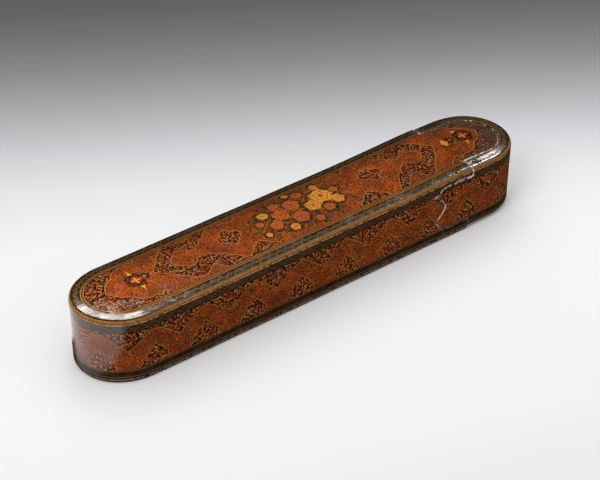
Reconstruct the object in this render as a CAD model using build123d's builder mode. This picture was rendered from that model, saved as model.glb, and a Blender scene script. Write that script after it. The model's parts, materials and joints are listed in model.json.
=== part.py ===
from build123d import *
from math import atan2, degrees
import os

# A lacquered papier-mache pen box. An outer case, closed and rounded at one end, holds a
# sliding drawer. The drawer's head carries the other rounded end, and its top is a rim
# that fits round a tongue of the case's top. Behind the head sits a small brass inkwell.
# Frame: millimetres, +X towards the drawer's head, +Z up, origin under the box's middle.

# Outer form
length = 225.0
width = 41.2
height = 31.0           # at the tongue's edge, where the domed middle of the top starts
end_reach = 22.3        # how far each rounded end runs along X
shoulder_radius = 25.0  # of the flat arcs that lead from the sides to the ends' tips
draft = 0.6             # how much the walls lean in towards the base
top_round = 2.0
border = 6.3            # from the edge of the top to its domed middle
crown = 0.5             # how much the border climbs from the edge to the middle
crown_start = 2.3       # from the edge to where that climb starts
dome_inset = (border, 12.0, 17.0)  # insets at which the dome's slope changes
dome_rise = (0.0, 0.7, 1.1)        # and how far each stands above the height
base_bevel = 1.2

# Papier-mache walls and fits
wall = 2.6
floor_top = 2.4         # inside floor of the case
ceiling = 28.6          # inside ceiling of the case
cavity_bevel = 2.0
slide_gap = 0.3         # between the drawer and the case, all round
tray_wall = 1.8
tray_floor = 2.0
tray_top = 28.2
tray_bevel = 1.6

# Joint between case and head, as a line on the side wall (X and Z)
top_joint_x = 78.5
base_joint_x = 77.0
border_joint_z = 27.3   # the joint runs along the upper border here
lower_joint_z = 5.4     # and along the lower border here
joint_gap = 0.3
lobe_x = 56.6           # tips of the two lobes of the head's side wall
notch_x = 63.4          # the notch between them
lobe_z = (10.4, 24.4)
notch_z = 17.4
shoulder_x = 61.5       # where the lobes meet the straight runs
lobe_swell = 0.8        # how far the curves between those points bow out

# The head stands a little high in the case, as a worn drawer does
head_base = 1.2
head_top = height + 0.4

# Tongue of the case's top, and its halved edge that laps over a ledge on the head's rim
tongue_half_width = width / 2 - border
tongue_tip_x = 106.4
tongue_reach = 13.0     # how far its rounded tip runs along X
lap = 1.2
lap_z = 29.5
worn_bevel = 0.4        # worn-off corner along both sides of that joint

# Divider of the tray
divider_x = 78.6
divider_thickness = 1.6
divider_top = 20.0
divider_dip = 5.0       # depth of the finger dip in its top edge
divider_dip_width = 20.0

# Brass inkwell: a cup that drops into the tray's end, and a top plate soldered on it
inkwell_gap = 0.4
inkwell_back_x = 81.0
inkwell_height = 9.0
inkwell_corner = 3.0
cup_bevel = 1.4
cup_inner_bevel = 1.0
sheet = 0.8             # thickness of the brass
mouth_x = 96.0
mouth_size = (7.6, 14.0)
mouth_corner = 3.0
collar_height = 0.6
collar_width = 1.0
wad_gap = 0.3
wad_height = 3.2

# Lid of the inkwell, its hinge and its knob
lid_front_x = 90.8
lid_back_x = 100.8
lid_width = 17.2
lid_corner = 3.6
lid_thickness = 1.1
lid_bevel = 0.4
panel_inset = 1.8
panel_height = 0.4
lid_gap = 0.1
hinge_x = 102.2
knuckle_radius = 1.0
knuckle_gap = 0.2
lid_knuckle_width = 4.0
plate_knuckle_width = 3.4
pin_radius = 0.5
pin_clearance = 0.05
pin_head = 0.4
knob_x = 94.4
knob_radius = 1.4
knob_stem_radius = 0.7
knob_stem_height = 0.6
knob_flare = 0.7
knob_rim = 0.6

half_length = length / 2
half_width = width / 2
straight_x = half_length - end_reach
shoulder_y = shoulder_radius - half_width
tip_radius = (shoulder_radius**2 - end_reach**2 - shoulder_y**2) / (
    2 * (shoulder_radius - end_reach)
)
tip_x = half_length - tip_radius
shoulder_turn = degrees(atan2(tip_x - straight_x, shoulder_y))
tray_base = floor_top + slide_gap
tray_floor_top = tray_base + tray_floor
tray_inset = wall + slide_gap
tray_inner_inset = tray_inset + tray_wall
tray_inner_side = half_width - tray_inner_inset
cup_floor = tray_floor_top + sheet
plate_base = tray_floor_top + inkwell_height
plate_top = plate_base + sheet
collar_top = plate_top + collar_height
lid_base = collar_top + lid_gap
panel_base = lid_base + lid_thickness
panel_top = panel_base + panel_height
knob_rim_z = panel_top + knob_stem_height + knob_flare
knob_top = knob_rim_z + knob_rim + knob_flare
hinge_z = lid_base + lid_thickness / 2
plate_knuckle_y = lid_knuckle_width / 2 + knuckle_gap
hinge_length = lid_knuckle_width + 2 * (knuckle_gap + plate_knuckle_width)
beyond = 40.0           # reach of a cutting shape past the box
tongue_root_x = top_joint_x - 5  # where the tongue's outline starts, inside the case's top
level = 0.01            # how far off a height an edge may lie and still count as at it


def edges_at_height(z):
    """Picks the level edges of the part in hand that lie at height z."""
    return edges().filter_by_position(Axis.Z, z - level, z + level)


def oval(inset):
    """The box's plan: straight sides, and ends of three arcs each, inset all round."""
    side = half_width - inset
    with BuildSketch(Plane.XY) as plan:
        with BuildLine():
            for sign, turn in ((1, 0), (-1, 180)):
                shoulder = (sign * straight_x, sign * shoulder_y)
                far_shoulder = (sign * straight_x, -sign * shoulder_y)
                tip = (sign * tip_x, 0)
                Line((-sign * straight_x, -sign * side), (sign * straight_x, -sign * side))
                CenterArc(shoulder, shoulder_radius - inset, turn - 90, shoulder_turn)
                CenterArc(
                    tip, tip_radius - inset, turn - 90 + shoulder_turn,
                    180 - 2 * shoulder_turn,
                )
                CenterArc(
                    far_shoulder, shoulder_radius - inset, turn + 90 - shoulder_turn,
                    shoulder_turn,
                )
        make_face()
    return plan.sketch


def outer_form(base, top):
    """The closed outer shape: leaning walls, rounded edges and a gently domed top."""
    edge_z = top - crown
    with BuildPart() as form:
        with BuildSketch(Plane.XY.offset(base)):
            add(oval(draft))
        extrude(amount=edge_z - base, taper=-degrees(atan2(draft, edge_z - base)))
        fillet(edges_at_height(edge_z), top_round)
        chamfer(edges_at_height(base), base_bevel)
        with BuildSketch(Plane.XY.offset(edge_z)):
            add(oval(crown_start))
        extrude(amount=crown, taper=degrees(atan2(border - crown_start, crown)))
        for step in range(len(dome_rise) - 1):
            rise = dome_rise[step + 1] - dome_rise[step]
            run = dome_inset[step + 1] - dome_inset[step]
            with BuildSketch(Plane.XY.offset(top + dome_rise[step])):
                add(oval(dome_inset[step]))
            extrude(amount=rise, taper=degrees(atan2(run, rise)))
    return form.part


def head_side():
    """The head's share of the box seen from the side, bounded by the lobed joint line."""
    low, high = lobe_z
    with BuildSketch(Plane.XY) as side:
        with BuildLine():
            Line((top_joint_x, height + beyond), (top_joint_x, border_joint_z))
            Line((top_joint_x, border_joint_z), (shoulder_x, border_joint_z))
            SagittaArc((shoulder_x, border_joint_z), (lobe_x, high), lobe_swell)
            SagittaArc((lobe_x, high), (notch_x, notch_z), lobe_swell)
            SagittaArc((notch_x, notch_z), (lobe_x, low), lobe_swell)
            SagittaArc((lobe_x, low), (shoulder_x, lower_joint_z), lobe_swell)
            Line((shoulder_x, lower_joint_z), (base_joint_x, lower_joint_z))
            Line((base_joint_x, lower_joint_z), (base_joint_x, -beyond))
            Line((base_joint_x, -beyond), (length, -beyond))
            Line((length, -beyond), (length, height + beyond))
            Line((length, height + beyond), (top_joint_x, height + beyond))
        make_face()
    return side.sketch


def tongue_plan(growth):
    """The tongue's plan, from inside the case's top to its rounded tip, grown all round."""
    side = tongue_half_width + growth
    tip_start_x = tongue_tip_x - tongue_reach
    with BuildSketch(Plane.XY) as plan:
        with BuildLine():
            Line((tongue_root_x, -side), (tip_start_x, -side))
            EllipticalCenterArc(
                (tip_start_x, 0), tongue_reach + growth, side, -90, arc_size=180
            )
            Line((tip_start_x, side), (tongue_root_x, side))
            Line((tongue_root_x, side), (tongue_root_x, -side))
        make_face()
    return plan.sketch


case_form = outer_form(0, height)
head_form = outer_form(head_base, head_top)

# Space that the head and its running gap take out of the case: all beyond the joint line
# but the tongue, which is full width above the lap and narrower below it.
with BuildPart() as head_space:
    with BuildSketch(Plane.XZ):
        add(head_side())
        offset(amount=joint_gap)
    extrude(amount=width, both=True)
    with BuildSketch(Plane.XY.offset(ceiling)):
        add(tongue_plan(-lap))
    extrude(amount=lap_z - ceiling, mode=Mode.SUBTRACT)
    with BuildSketch(Plane.XY.offset(lap_z)):
        add(tongue_plan(0))
    extrude(amount=height - worn_bevel - lap_z, mode=Mode.SUBTRACT)
    with BuildSketch(Plane.XY.offset(height - worn_bevel)):
        add(tongue_plan(0))
    with BuildSketch(Plane.XY.offset(height + worn_bevel)):
        add(tongue_plan(-2 * worn_bevel))
    loft(ruled=True, mode=Mode.SUBTRACT)
    with BuildSketch(Plane.XY.offset(height + worn_bevel)):
        add(tongue_plan(-2 * worn_bevel))
    extrude(amount=beyond, mode=Mode.SUBTRACT)

# The outer case: a papier-mache shell, open at the head's end
with BuildPart() as case_shell:
    add(case_form)
    with BuildSketch(Plane.XY.offset(floor_top)):
        add(oval(wall))
    extrude(amount=ceiling - floor_top, mode=Mode.SUBTRACT)
    chamfer(edges_at_height(floor_top), cavity_bevel)
    add(head_space.part, mode=Mode.SUBTRACT)
case_shell.part.label = "case_shell"

# The space that the tray fills, which the head is glued round
with BuildPart() as tray_blank:
    with BuildSketch(Plane.XY.offset(tray_base)):
        add(oval(tray_inset))
    extrude(amount=tray_top - tray_base)
    chamfer(edges_at_height(tray_base), cavity_bevel)

# The drawer's tray: a long open trough with rounded ends
with BuildPart() as drawer_tray:
    add(tray_blank.part)
    with BuildSketch(Plane.XY.offset(tray_floor_top)):
        add(oval(tray_inner_inset))
    extrude(amount=tray_top - tray_floor_top, mode=Mode.SUBTRACT)
    chamfer(edges_at_height(tray_floor_top), tray_bevel)
drawer_tray.part.label = "drawer_tray"

# The drawer's head: the box's other rounded end
with BuildPart() as drawer_head:
    add(head_form)
    with BuildSketch(Plane.XZ):
        add(head_side())
    extrude(amount=width, both=True, mode=Mode.INTERSECT)
    add(tray_blank.part, mode=Mode.SUBTRACT)
    with BuildSketch(Plane.XY.offset(tray_top)):
        add(tongue_plan(joint_gap - lap))
    extrude(amount=beyond, mode=Mode.SUBTRACT)
    with BuildSketch(Plane.XY.offset(lap_z - joint_gap)):
        add(tongue_plan(joint_gap))
    extrude(amount=beyond, mode=Mode.SUBTRACT)
    with BuildSketch(Plane.XY.offset(head_top - worn_bevel)):
        add(tongue_plan(joint_gap))
    with BuildSketch(Plane.XY.offset(head_top + worn_bevel)):
        add(tongue_plan(joint_gap + 2 * worn_bevel))
    loft(ruled=True, mode=Mode.SUBTRACT)
drawer_head.part.label = "drawer_head"


def inkwell_plan(inset):
    """The inkwell's plan: the tray's rounded end past the divider, inset all round."""
    with BuildSketch(Plane.XY) as plan:
        add(oval(tray_inner_inset + inkwell_gap + inset))
        with Locations((inkwell_back_x + inset, 0)):
            Rectangle(
                length, width, align=(Align.MIN, Align.CENTER), mode=Mode.INTERSECT
            )
        fillet(plan.vertices().group_by(Axis.X)[0], inkwell_corner - inset)
    return plan.sketch


# The divider between the pens and the inkwell
with BuildPart() as tray_divider:
    with BuildSketch(Plane.YZ.offset(divider_x - divider_thickness / 2)) as panel:
        with Locations((0, tray_floor_top)):
            Rectangle(
                2 * tray_inner_side,
                divider_top - tray_floor_top,
                align=(Align.CENTER, Align.MIN),
            )
        chamfer(panel.vertices().group_by(Axis.Y)[0], tray_bevel)
        with Locations((0, divider_top)):
            Ellipse(divider_dip_width / 2, divider_dip, mode=Mode.SUBTRACT)
    extrude(amount=divider_thickness)
tray_divider.part.label = "tray_divider"

# The inkwell's cup
with BuildPart() as inkwell_cup:
    with BuildSketch(Plane.XY.offset(tray_floor_top)):
        add(inkwell_plan(0))
    extrude(amount=inkwell_height)
    chamfer(edges_at_height(tray_floor_top), cup_bevel)
    with BuildSketch(Plane.XY.offset(cup_floor)):
        add(inkwell_plan(sheet))
    extrude(amount=inkwell_height, mode=Mode.SUBTRACT)
    chamfer(edges_at_height(cup_floor), cup_inner_bevel)
inkwell_cup.part.label = "inkwell_cup"

# The wad of silk that holds the ink in the cup
with BuildPart() as ink_wad:
    with BuildSketch(Plane.XY.offset(cup_floor)):
        add(inkwell_plan(sheet + wad_gap))
    extrude(amount=wad_height)
    chamfer(edges_at_height(cup_floor), cup_inner_bevel)
ink_wad.part.label = "ink_wad"

# The inkwell's top plate, with a collar round its mouth and two knuckles of the hinge
with BuildPart() as inkwell_top_plate:
    with BuildSketch(Plane.XY.offset(plate_base)):
        add(inkwell_plan(0))
    extrude(amount=sheet)
    with BuildSketch(Plane.XY.offset(plate_top)):
        with Locations((mouth_x, 0)):
            RectangleRounded(
                mouth_size[0] + 2 * collar_width,
                mouth_size[1] + 2 * collar_width,
                mouth_corner + collar_width,
            )
    extrude(amount=collar_height)
    with BuildSketch(Plane.XY.offset(plate_base)):
        with Locations((mouth_x, 0)):
            RectangleRounded(*mouth_size, mouth_corner)
    extrude(amount=beyond, mode=Mode.SUBTRACT)
    for start in (plate_knuckle_y, -plate_knuckle_y - plate_knuckle_width):
        with BuildSketch(Plane.XZ.offset(start)):
            with Locations((hinge_x, hinge_z)):
                Circle(knuckle_radius)
                Rectangle(
                    2 * knuckle_radius,
                    hinge_z - plate_top,
                    align=(Align.CENTER, Align.MAX),
                )
                Circle(pin_radius, mode=Mode.SUBTRACT)
        extrude(amount=plate_knuckle_width)
inkwell_top_plate.part.label = "inkwell_top_plate"

# The inkwell's lid: a bevelled plate with a raised panel and the middle knuckle
with BuildPart() as inkwell_lid:
    lid_length = lid_back_x - lid_front_x
    lid_middle_x = (lid_front_x + lid_back_x) / 2
    with BuildSketch(Plane.XY.offset(lid_base)):
        with Locations((lid_middle_x, 0)):
            RectangleRounded(lid_length, lid_width, lid_corner)
    extrude(amount=lid_thickness)
    chamfer(edges_at_height(panel_base), lid_bevel)
    with BuildSketch(Plane.XY.offset(panel_base)):
        with Locations((lid_middle_x, 0)):
            RectangleRounded(
                lid_length - 2 * panel_inset,
                lid_width - 2 * panel_inset,
                lid_corner - panel_inset,
            )
    extrude(amount=panel_height)
    chamfer(edges_at_height(panel_base + panel_height), panel_height / 2)
    with BuildSketch(Plane.XZ):
        with Locations((hinge_x, hinge_z)):
            Circle(knuckle_radius)
            Rectangle(
                hinge_x - lid_back_x + lid_bevel,
                lid_thickness,
                align=(Align.MAX, Align.CENTER),
            )
            Circle(pin_radius + pin_clearance, mode=Mode.SUBTRACT)
    extrude(amount=lid_knuckle_width / 2, both=True)
inkwell_lid.part.label = "inkwell_lid"

# The hinge's pin, with a flat head at each end
with BuildPart() as inkwell_hinge_pin:
    with BuildSketch(Plane.XZ):
        with Locations((hinge_x, hinge_z)):
            Circle(pin_radius)
    extrude(amount=hinge_length / 2, both=True)
    for start in (hinge_length / 2, -hinge_length / 2 - pin_head):
        with BuildSketch(Plane.XZ.offset(start)):
            with Locations((hinge_x, hinge_z)):
                Circle(knuckle_radius - pin_clearance)
        extrude(amount=pin_head)
inkwell_hinge_pin.part.label = "inkwell_hinge_pin"

# The lid's knob: a small turned button on a stem
with BuildPart() as lid_knob:
    with BuildSketch(Plane.XZ):
        with BuildLine():
            Polyline(
                (knob_x, panel_top),
                (knob_x + knob_stem_radius, panel_top),
                (knob_x + knob_stem_radius, panel_top + knob_stem_height),
                (knob_x + knob_radius, knob_rim_z),
                (knob_x + knob_radius, knob_rim_z + knob_rim),
                (knob_x + knob_stem_radius, knob_top),
                (knob_x, knob_top),
                (knob_x, panel_top),
            )
        make_face()
    revolve(axis=Axis((knob_x, 0, 0), (0, 0, 1)))
lid_knob.part.label = "lid_knob"

pieces = (
    case_shell, drawer_tray, drawer_head, tray_divider, inkwell_cup, ink_wad,
    inkwell_top_plate, inkwell_lid, inkwell_hinge_pin, lid_knob,
)
os.makedirs("parts", exist_ok=True)
for piece in pieces:
    export_step(piece.part, f"parts/{piece.part.label}.step")
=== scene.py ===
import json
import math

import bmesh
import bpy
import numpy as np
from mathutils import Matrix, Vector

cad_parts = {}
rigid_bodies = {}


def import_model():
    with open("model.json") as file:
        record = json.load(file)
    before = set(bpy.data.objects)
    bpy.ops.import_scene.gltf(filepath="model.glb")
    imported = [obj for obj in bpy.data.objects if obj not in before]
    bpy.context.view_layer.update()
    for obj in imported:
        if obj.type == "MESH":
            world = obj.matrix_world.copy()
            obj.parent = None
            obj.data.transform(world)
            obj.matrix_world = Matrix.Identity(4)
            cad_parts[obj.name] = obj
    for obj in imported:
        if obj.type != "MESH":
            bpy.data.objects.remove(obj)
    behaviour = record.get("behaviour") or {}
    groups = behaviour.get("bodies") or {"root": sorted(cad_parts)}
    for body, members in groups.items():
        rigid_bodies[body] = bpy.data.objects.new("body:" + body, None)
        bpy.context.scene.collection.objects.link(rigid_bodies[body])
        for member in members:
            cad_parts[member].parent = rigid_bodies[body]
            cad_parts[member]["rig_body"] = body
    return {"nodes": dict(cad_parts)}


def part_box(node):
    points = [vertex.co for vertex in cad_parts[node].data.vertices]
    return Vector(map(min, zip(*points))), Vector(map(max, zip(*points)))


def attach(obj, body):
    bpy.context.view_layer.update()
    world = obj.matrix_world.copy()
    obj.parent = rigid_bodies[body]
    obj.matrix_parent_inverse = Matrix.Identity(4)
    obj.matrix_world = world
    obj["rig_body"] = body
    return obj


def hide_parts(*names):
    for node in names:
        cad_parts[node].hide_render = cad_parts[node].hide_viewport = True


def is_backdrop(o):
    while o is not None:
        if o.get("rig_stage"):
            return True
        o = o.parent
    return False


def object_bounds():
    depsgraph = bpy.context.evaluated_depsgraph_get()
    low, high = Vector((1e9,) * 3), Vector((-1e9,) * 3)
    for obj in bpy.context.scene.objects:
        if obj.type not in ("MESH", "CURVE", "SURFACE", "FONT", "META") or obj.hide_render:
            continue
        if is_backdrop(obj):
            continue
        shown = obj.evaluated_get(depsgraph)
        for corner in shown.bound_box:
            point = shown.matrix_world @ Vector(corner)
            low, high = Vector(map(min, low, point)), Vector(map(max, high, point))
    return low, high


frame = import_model()

# %% [markdown]
# # A lacquered pen box
# The object is a papier-mache pen box: a sleeve, closed and rounded at one end, and a drawer that
# slides out of the other. Its painted ornament lies under clear varnish. The frame that was
# loaded above gives every piece of it in metres, and each piece built here rides on one of them.
# We build the painted shells as surfaces from formulas, cut them along the lobed joint, measure
# how far each point lies from the ornament's outlines, and let the shaders paint from that.

MM = 0.001
cad_low, cad_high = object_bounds()

print("the frame spans", [round(v, 4) for v in (cad_high - cad_low)], "m")

# %% [markdown]
# ## Camera
# The view was found by fitting a camera to the outline of the box and to the line painted round
# its top, so it is given as two angles and a distance from a point near the box's middle. A long
# lens from nearly a metre away keeps the sides almost parallel, as in the photograph.

# %% Place the camera
AZIMUTH, ELEVATION = math.radians(-38.44), math.radians(34.62)
DISTANCE, LENS, SENSOR_WIDTH = 0.8933, 127.15, 36.0
TARGET = Vector((-0.00064, 0.0, 0.01629))
back = Vector((math.sin(AZIMUTH) * math.cos(ELEVATION),
               -math.cos(AZIMUTH) * math.cos(ELEVATION), math.sin(ELEVATION)))
camera_data = bpy.data.cameras.new("camera")
camera_data.lens = LENS
camera_data.sensor_width = SENSOR_WIDTH
camera = bpy.data.objects.new("camera", camera_data)
camera.location = TARGET + DISTANCE * back
camera.rotation_euler = back.to_track_quat("Z", "Y").to_euler()
scene = bpy.context.scene
scene.collection.objects.link(camera)
scene.camera = camera
scene.view_settings.view_transform = "Standard"
print("camera at", [round(v, 3) for v in camera.location])

# %% [markdown]
# ## The plan of the box
# Seen from above the box has straight sides and ends of three arcs each: a flat arc leads from
# either side to a tighter one round the tip. Moving such an outline inwards keeps the arcs'
# centres and only shrinks their radii, so an inset outline is exact, and both ways round it are
# simple: from a length along the outline to a point, and from a point back to that length.

# %% The outline, forwards and backwards
HALF_LENGTH, HALF_WIDTH = 112.5, 20.6
END_REACH, SHOULDER_RADIUS = 22.3, 25.0
STRAIGHT_X = HALF_LENGTH - END_REACH
SHOULDER_Y = SHOULDER_RADIUS - HALF_WIDTH
TIP_RADIUS = ((SHOULDER_RADIUS**2 - END_REACH**2 - SHOULDER_Y**2)
              / (2 * (SHOULDER_RADIUS - END_REACH)))
TIP_X = HALF_LENGTH - TIP_RADIUS
TURN = math.atan2(TIP_X - STRAIGHT_X, SHOULDER_Y)
TIP_RUN = TIP_RADIUS * (math.pi / 2 - TURN)
END_RUN = TIP_RUN + SHOULDER_RADIUS * TURN
HALF_LOOP = 2 * (END_RUN + STRAIGHT_X)


def outline(around, inset):
    """Points on the plan's outline, moved in by inset.

    around is the length from the left tip along the front, then back along the far side. The
    direction outwards turns evenly along each arc and is constant on the straight part. A point
    is the arc's centre plus that direction times the arc's radius less the inset.
    """
    far = around > HALF_LOOP
    along = np.where(far, 2 * HALF_LOOP - around, around)
    right = along > HALF_LOOP / 2
    run = np.where(right, HALF_LOOP - along, along)
    in_tip = run < TIP_RUN
    angle = np.where(
        in_tip,
        math.pi + run / TIP_RADIUS,
        1.5 * math.pi - np.maximum(END_RUN - run, 0) / SHOULDER_RADIUS,
    )
    radius = np.where(in_tip, TIP_RADIUS, SHOULDER_RADIUS) - inset
    x = np.where(in_tip, -TIP_X, -STRAIGHT_X) + radius * np.cos(angle)
    y = np.where(in_tip, 0, SHOULDER_Y) + radius * np.sin(angle)
    x = x + np.maximum(run - END_RUN, 0)
    return np.where(right, -x, x), np.where(far, -y, y)


def place_in_plan(x, y):
    """For each point, its length along the front half of the outline and its inset from it.

    The inverse of outline: the side of the straight part is measured straight across, and a point
    beyond it by its direction and distance from the centre of its own arc.
    """
    left, front = -np.abs(x), -np.abs(y)
    shoulder = np.arctan2(front - SHOULDER_Y, left + STRAIGHT_X) % (2 * math.pi)
    tip = np.arctan2(front, left + TIP_X) % (2 * math.pi)
    in_shoulder = shoulder > 1.5 * math.pi - TURN
    run = np.where(
        in_shoulder,
        END_RUN - (1.5 * math.pi - shoulder) * SHOULDER_RADIUS,
        np.clip(tip - math.pi, 0, None) * TIP_RADIUS,
    )
    inset = np.where(
        in_shoulder,
        SHOULDER_RADIUS - np.hypot(front - SHOULDER_Y, left + STRAIGHT_X),
        TIP_RADIUS - np.hypot(front, left + TIP_X),
    )
    straight = left > -STRAIGHT_X
    run = np.where(straight, END_RUN + left + STRAIGHT_X, run)
    inset = np.where(straight, HALF_WIDTH + front, inset)
    return np.where(x > 0, HALF_LOOP - run, run), inset


print("once round the box is", round(2 * HALF_LOOP, 1), "mm")

# %% [markdown]
# ## Shells as grids
# A closed shell is one grid of points. One direction runs round the outline, the other up a
# profile from the middle of the underside, over the wall, to the middle of the top, and each
# profile point says how far it is inset and how high it lies. The first and last rows shrink onto
# the box's long middle line, where matching points of both sides are merged, so it is watertight.

# %% Grid to mesh
MERGE_DISTANCE = 2e-6


def mesh_from(name, points, faces, merge=True):
    """A mesh object from points in millimetres and lists of vertex numbers."""
    mesh = bpy.data.meshes.new(name)
    mesh.from_pydata((points * MM).tolist(), [], faces)
    work = bmesh.new()
    work.from_mesh(mesh)
    if merge:
        bmesh.ops.remove_doubles(work, verts=work.verts, dist=MERGE_DISTANCE)
    bmesh.ops.recalc_face_normals(work, faces=work.faces)
    work.to_mesh(mesh)
    work.free()
    made = bpy.data.objects.new(name, mesh)
    scene.collection.objects.link(made)
    return made


def grid_quads(rows, columns, ring=False):
    """Vertex numbers of the faces of a grid that closes on itself along its columns.

    A grid that is a ring also closes from its last row to its first.
    """
    last = rows if ring else rows - 1
    row, column = np.meshgrid(np.arange(last), np.arange(columns), indexing="ij")
    above, right = (row + 1) % rows, (column + 1) % columns
    corners = (row * columns + column, row * columns + right,
               above * columns + right, above * columns + column)
    return np.stack(corners, axis=-1).reshape(-1, 4)


def shell(name, profile, step):
    """A closed shell from a profile of (inset, height) rows, with faces about step wide.

    Every row is the outline moved in by that row's inset at that row's height. The first and last
    rows are drawn onto the middle line, where y is zero.
    """
    columns = 2 * int(HALF_LOOP / step)
    around = np.arange(columns) * (2 * HALF_LOOP / columns)
    insets, heights = (np.asarray(v, float)[:, None] for v in zip(*profile))
    x, y = outline(around[None, :], insets)
    y[0], y[-1] = 0, 0
    z = np.broadcast_to(heights, x.shape)
    points = np.stack([x, y, z], axis=-1).reshape(-1, 3)
    return mesh_from(name, points, grid_quads(len(profile), columns).tolist())


print("a grid of 4 rows of 3 points has", len(grid_quads(4, 3)), "faces")

# %% [markdown]
# ## The profile of the case
# The wall leans out a little on its way up, turns over a rounded rim, and the top climbs gently
# across its border to a domed middle. The underside's edge is rubbed round. A moulded paper box
# has no hard edges, so the climb of the top is smoothed with a short running average.

# %% Profile rows
HEIGHT, CROWN, DRAFT, TOP_ROUND, BASE_ROUND = 31.0, 0.5, 0.6, 2.0, 1.3
UNDERSIDE_MARGIN, UNDERSIDE_ROWS, QUARTER_ROWS = 0.6, 6, 7
FINE, COARSE = ((0.58, 2.2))
MEDIAL = TIP_RADIUS - 0.02
TOP_SLOPES = [(-5.0, 0.0), (2.3, 0.0), (6.3, CROWN), (12.0, CROWN + 0.7), (17.0, CROWN + 1.1),
              (30.0, CROWN + 1.1)]
AVERAGED_REACH, AVERAGED_COUNT = 1.2, 9


def top_height(inset):
    """How far the top stands above its edge at each inset: a smoothed run of straight slopes."""
    at, climb = zip(*TOP_SLOPES)
    shifts = np.linspace(-AVERAGED_REACH, AVERAGED_REACH, AVERAGED_COUNT)
    return np.mean([np.interp(inset + shift, at, climb) for shift in shifts], axis=0)


def outer_profile(base, top):
    """Rows of (inset, height) from the underside's middle up the wall to the top's middle.

    Both rounded edges are quarter circles. The wall between them is straight.
    """
    edge = top - CROWN
    quarter = np.linspace(0, math.pi / 2, QUARTER_ROWS)
    flat_end = DRAFT + BASE_ROUND + UNDERSIDE_MARGIN
    rows = [(inset, base) for inset in np.linspace(MEDIAL, flat_end, UNDERSIDE_ROWS)]
    rows += [(DRAFT + BASE_ROUND * (1 - math.sin(q)), base + BASE_ROUND * (1 - math.cos(q)))
             for q in quarter]
    wall_top = edge - TOP_ROUND
    count = int((wall_top - base - BASE_ROUND) / FINE)
    heights = np.linspace(base + BASE_ROUND, wall_top, count + 1)[1:]
    rows += [(DRAFT * (1 - (z - base) / (edge - base)), z) for z in heights]
    lean = rows[-1][0]
    rows += [(lean + TOP_ROUND * (1 - math.cos(q)), wall_top + TOP_ROUND * math.sin(q))
             for q in quarter[1:]]
    insets = np.linspace(rows[-1][0], MEDIAL, int((MEDIAL - TOP_ROUND) / FINE))[1:]
    rows += list(zip(insets, edge + top_height(insets)))
    return rows


print("the profile has", len(outer_profile(0, HEIGHT)), "rows")

# %% [markdown]
# ## The joint between case and drawer
# On the sides the joint runs along the upper border, down round two lobes with a notch between
# them, and back along the lower border. Its edges are chipped from use. The line is worked out
# once from its corners, moved sideways by the gap, resampled finely and roughened by a smooth
# random wave, always into the piece whose edge it is, so that the two never touch.

# %% Joint lines
GAP, BEYOND = 0.3, 60.0
MOUTH_X, FOOT_X, LOBE_SWELL = 78.5, 77.0, 0.8
LOBE_CORNERS = [(61.5, 27.3), (56.6, 24.4), (63.4, 17.4), (56.6, 10.4), (61.5, 5.4)]
BLUR_POINTS, WEAR_SHARE, CHIP_SHARE, CHIP_ABOVE = 7, 0.6, 9.0, 0.66
TONGUE_ROOT, TONGUE_SHOULDER, TONGUE_TIP, TONGUE_SIDE = 73.5, 93.4, 13.0, 14.3


def arc_between(start, end, bow, count=7):
    """Points on a shallow arc: the chord plus a parabola that stands bow to its left."""
    t = np.linspace(0, 1, count)[:, None]
    start, end = np.asarray(start, float), np.asarray(end, float)
    along = end - start
    left = np.array([-along[1], along[0]]) / np.linalg.norm(along)
    return start + along * t + left * (4 * bow * t * (1 - t))


def side_joint():
    """The joint on the side wall as (x, z) points from above the box to below it."""
    arcs = [arc_between(a, b, LOBE_SWELL)[:-1] for a, b in zip(LOBE_CORNERS, LOBE_CORNERS[1:])]
    first, last = LOBE_CORNERS[0], LOBE_CORNERS[-1]
    upper = [(MOUTH_X, HEIGHT + BEYOND), (MOUTH_X, first[1])]
    lower = [last, (FOOT_X, last[1]), (FOOT_X, -BEYOND)]
    return np.concatenate([upper, *arcs, lower])


def moved(line, distance):
    """An open line moved to its left, with each corner moved along its mitre."""
    along = np.diff(line, axis=0)
    along /= np.linalg.norm(along, axis=1)[:, None]
    left = np.stack([-along[:, 1], along[:, 0]], axis=1)
    before, after = np.vstack([left[:1], left]), np.vstack([left, left[-1:]])
    mitre = before + after
    mitre /= np.maximum((mitre * before).sum(1), 0.4)[:, None]
    return line + distance * mitre


def resampled(line, step):
    """The line with a point about every step, each straight piece divided evenly."""
    pieces = []
    for a, b in zip(line, line[1:]):
        count = max(1, int(round(np.linalg.norm(b - a) / step)))
        pieces.append(a + (b - a) * (np.arange(count) / count)[:, None])
    return np.concatenate([*pieces, line[-1:]])


def chipped(line, seed, depth):
    """The line roughened to its left by a smooth wave, with a deeper chip here and there.

    Two random sequences are blurred over a few points. One gives the wear. What the other has
    above a limit gives the rare chips.
    """
    noise = np.random.default_rng(seed).random((2, len(line)))
    blur = np.hanning(BLUR_POINTS) / np.hanning(BLUR_POINTS).sum()
    wear, chip = (np.convolve(row, blur, "same") for row in noise)
    amount = depth * (WEAR_SHARE * wear + CHIP_SHARE * np.clip(chip - CHIP_ABOVE, 0, 1))
    along = np.gradient(line, axis=0)
    along /= np.linalg.norm(along, axis=1)[:, None]
    left = np.stack([-along[:, 1], along[:, 0]], axis=1)
    return line + left * amount[:, None]


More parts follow.
